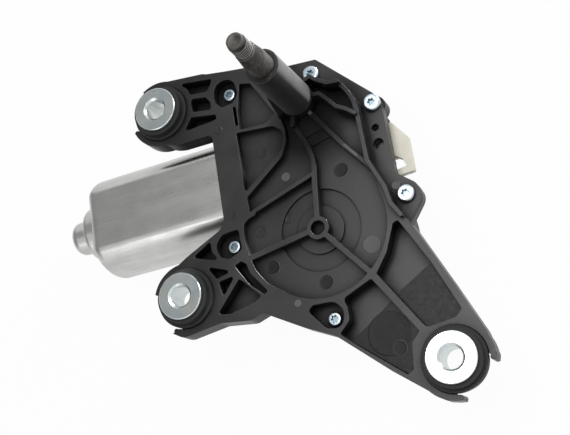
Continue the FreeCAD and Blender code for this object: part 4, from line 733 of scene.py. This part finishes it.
# The output shaft.
# Turned steel, dark phosphated: a plain journal, a knurled taper that grips the wiper
# arm, and a rolled M8 thread whose end is domed. The seal round it is soft black rubber.
KNURLS = 48
KNURL_DEPTH = 0.22
KNURL_LOW, KNURL_HIGH = 40.4, 47.6
THREAD_ROOT, THREAD_CREST, THREAD_PITCH = 3.42, 3.98, 1.25
THREAD_LOW, THREAD_TURNS = 48.35, 5.9
FOOT_HALF, CREST_HALF = 0.62, 0.1
CREST_PAINT_FROM = 3.7
SHARP_EDGE = math.radians(28)
# Radius and height of the turned outline: spigot, clip groove, journal, taper, thread's root and tip.
shaft_outline = [
    (0.0, -45.2), (3.7, -45.2), (4.0, -44.9), (4.0, -44.7),
    (3.3, -44.7), (3.3, -43.9), (4.0, -43.9), (4.0, -41.7),
    (4.9, -41.7), (5.2, -41.4), (5.2, 39.3), (5.05, 39.7), (5.12, 39.9),
    (5.1, KNURL_LOW), (5.0, 41.2), (4.45, 46.8), (4.4, KNURL_HIGH), (4.3, 47.9), (3.7, 48.1),
    (THREAD_ROOT, 48.4), (THREAD_ROOT, 55.9),
    (3.62, 56.1), (3.62, 56.8), (3.5, 57.2), (3.1, 57.5), (2.2, 57.5), (1.9, 57.38), (0.0, 57.35),
]


def turned(outline, steps):
    """An outline of (radius, height) in millimetres, spun round the Z axis."""
    mesh = bpy.data.meshes.new("turned")
    points = [(r * MM, 0.0, z * MM) for r, z in outline]
    mesh.from_pydata(points, [(k, k + 1) for k in range(len(points) - 1)], [])
    piece = bpy.data.objects.new("turned", mesh)
    scene.collection.objects.link(piece)
    select_only(piece)
    bpy.ops.object.mode_set(mode="EDIT")
    bpy.ops.mesh.select_all(action="SELECT")
    bpy.ops.mesh.spin(steps=steps, angle=2 * math.pi, center=(0, 0, 0), axis=(0, 0, 1))
    bpy.ops.mesh.select_all(action="SELECT")
    bpy.ops.mesh.remove_doubles(threshold=0.00001)
    bpy.ops.mesh.normals_make_consistent(inside=False)
    bpy.ops.object.mode_set(mode="OBJECT")
    return piece


shaft_body = turned(shaft_outline, 2 * KNURLS)
for vertex in shaft_body.data.vertices:
    x, y, z = vertex.co
    if KNURL_LOW + 0.5 < z / MM < KNURL_HIGH - 0.5:
        column = round(math.atan2(y, x) / (2 * math.pi) * 2 * KNURLS)
        if column % 2:
            radius = math.hypot(x, y)
            vertex.co.xy = vertex.co.xy * (radius - KNURL_DEPTH * MM) / radius

thread_mesh = bpy.data.meshes.new("thread")
foot_r = THREAD_ROOT - 0.25
tooth = [(foot_r, -FOOT_HALF), (THREAD_CREST, -CREST_HALF), (THREAD_CREST, CREST_HALF), (foot_r, FOOT_HALF)]
tooth_points = [(r * MM, 0.0, (THREAD_LOW + z) * MM) for r, z in tooth]
thread_mesh.from_pydata(tooth_points, [(0, 1), (1, 2), (2, 3), (3, 0)], [])
thread = bpy.data.objects.new("thread", thread_mesh)
scene.collection.objects.link(thread)
select_only(thread)
wind = thread.modifiers.new("wind", "SCREW")
wind.axis = "Z"
wind.angle = 2 * math.pi * THREAD_TURNS
wind.screw_offset = THREAD_PITCH * THREAD_TURNS * MM
wind.steps = int(48 * THREAD_TURNS)
wind.render_steps = wind.steps
bpy.ops.object.modifier_apply(modifier="wind")
bpy.ops.object.mode_set(mode="EDIT")
bpy.ops.mesh.select_all(action="SELECT")
bpy.ops.mesh.fill_holes(sides=4)
bpy.ops.mesh.select_all(action="SELECT")
bpy.ops.mesh.normals_make_consistent(inside=False)
bpy.ops.object.mode_set(mode="OBJECT")
for vertex in thread.data.vertices:
    turn = (vertex.co.z / MM - THREAD_LOW) / (THREAD_PITCH * THREAD_TURNS)
    fade = min(1.0, 10.0 * max(0.0, min(turn, 1.0 - turn)) + 0.35)
    radius = math.hypot(vertex.co.x, vertex.co.y)
    if radius > THREAD_ROOT * MM:
        kept = THREAD_ROOT * MM + (radius - THREAD_ROOT * MM) * fade
        vertex.co.xy = vertex.co.xy * kept / radius


def phosphate(name, dark, light, bare, wear):
    """Dark phosphated steel, rubbed bare on its crests and edges."""
    finish, tree, shader, coords = new_finish(name)
    normal, near_edge = rounded_edges(tree, 0.15 * MM)
    clouds = grain(tree, coords, 1.8 * MM, 4.0)
    lines = grain(tree, coords, 0.16 * MM, 3.0, (10.0, 10.0, 1.0))
    body = tint(tree, clouds, dark, light)
    lighter_edges = times(tree, near_edge, level(tree, lines, 0.4 * wear, wear))
    tree.links.new(blend_colour(tree, lighter_edges, body, bare), shader.inputs["Base Color"])
    shader.inputs["Metallic"].default_value = 0.75
    tree.links.new(level(tree, clouds, 0.38, 0.55), shader.inputs["Roughness"])
    relief(tree, shader, lines, 0.01 * MM, normal)
    return finish


shaft_dark = phosphate("shaft_phosphate", (0.05, 0.046, 0.043), (0.1, 0.092, 0.086), (0.3, 0.29, 0.28), 0.8)
shaft = settle(shaft_body, "output_shaft_turned", "output", "dark_shaft", shaft_dark)
select_only(shaft)
bpy.ops.object.shade_smooth_by_angle(angle=SHARP_EDGE)
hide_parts("output_shaft")


def shaded_worn_thread(name, dark, light, crest):
    """Flanks painted dark, a painted shade in the grooves, that turn towards the crest to a light colour that
    is rubbed steel and a painted highlight.
    """
    finish, tree, shader, coords = new_finish(name)
    across = tree.nodes.new("ShaderNodeVectorMath")
    across.operation = "MULTIPLY"
    across.inputs[1].default_value = (1.0, 1.0, 0.0)
    tree.links.new(coords, across.inputs[0])
    from_axis = tree.nodes.new("ShaderNodeVectorMath")
    from_axis.operation = "LENGTH"
    tree.links.new(across.outputs[0], from_axis.inputs[0])
    # Painted shade on the flanks and painted highlight on the crests, by distance from the axis.
    on_crest = level(tree, from_axis.outputs["Value"], 0.0, 1.0, CREST_PAINT_FROM * MM, THREAD_CREST * MM)
    flank = tint(tree, grain(tree, coords, 1.2 * MM, 3.0), dark, light)
    tree.links.new(blend_colour(tree, on_crest, flank, crest), shader.inputs["Base Color"])
    shader.inputs["Metallic"].default_value = 0.8
    tree.links.new(level(tree, on_crest, 0.5, 0.3), shader.inputs["Roughness"])
    return finish


thread_shaded_worn = shaded_worn_thread("thread_shaded_worn", (0.008, 0.0075, 0.007), (0.025, 0.023, 0.022), (0.31, 0.3, 0.29))
settle(thread, "output_shaft_thread", "output", "dark_shaft", thread_shaded_worn)
select_only(thread)
bpy.ops.object.shade_smooth_by_angle(angle=SHARP_EDGE)
dress(soft_matter("seal_rubber", (0.012, 0.012, 0.012), (0.02, 0.02, 0.02), 0.55, 0.2, 0.01), "shaft_seal")

# The connector.
# A natural nylon shell, creamy and slightly translucent, stands at the case's right
# side around five flat brass tabs.
connector_nylon = moulded("connector_nylon", (0.76, 0.735, 0.62), (0.87, 0.845, 0.75), 0.4, 0.3)
dress(connector_nylon, "connector_shell")

# The size of what is shown.
lo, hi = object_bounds()
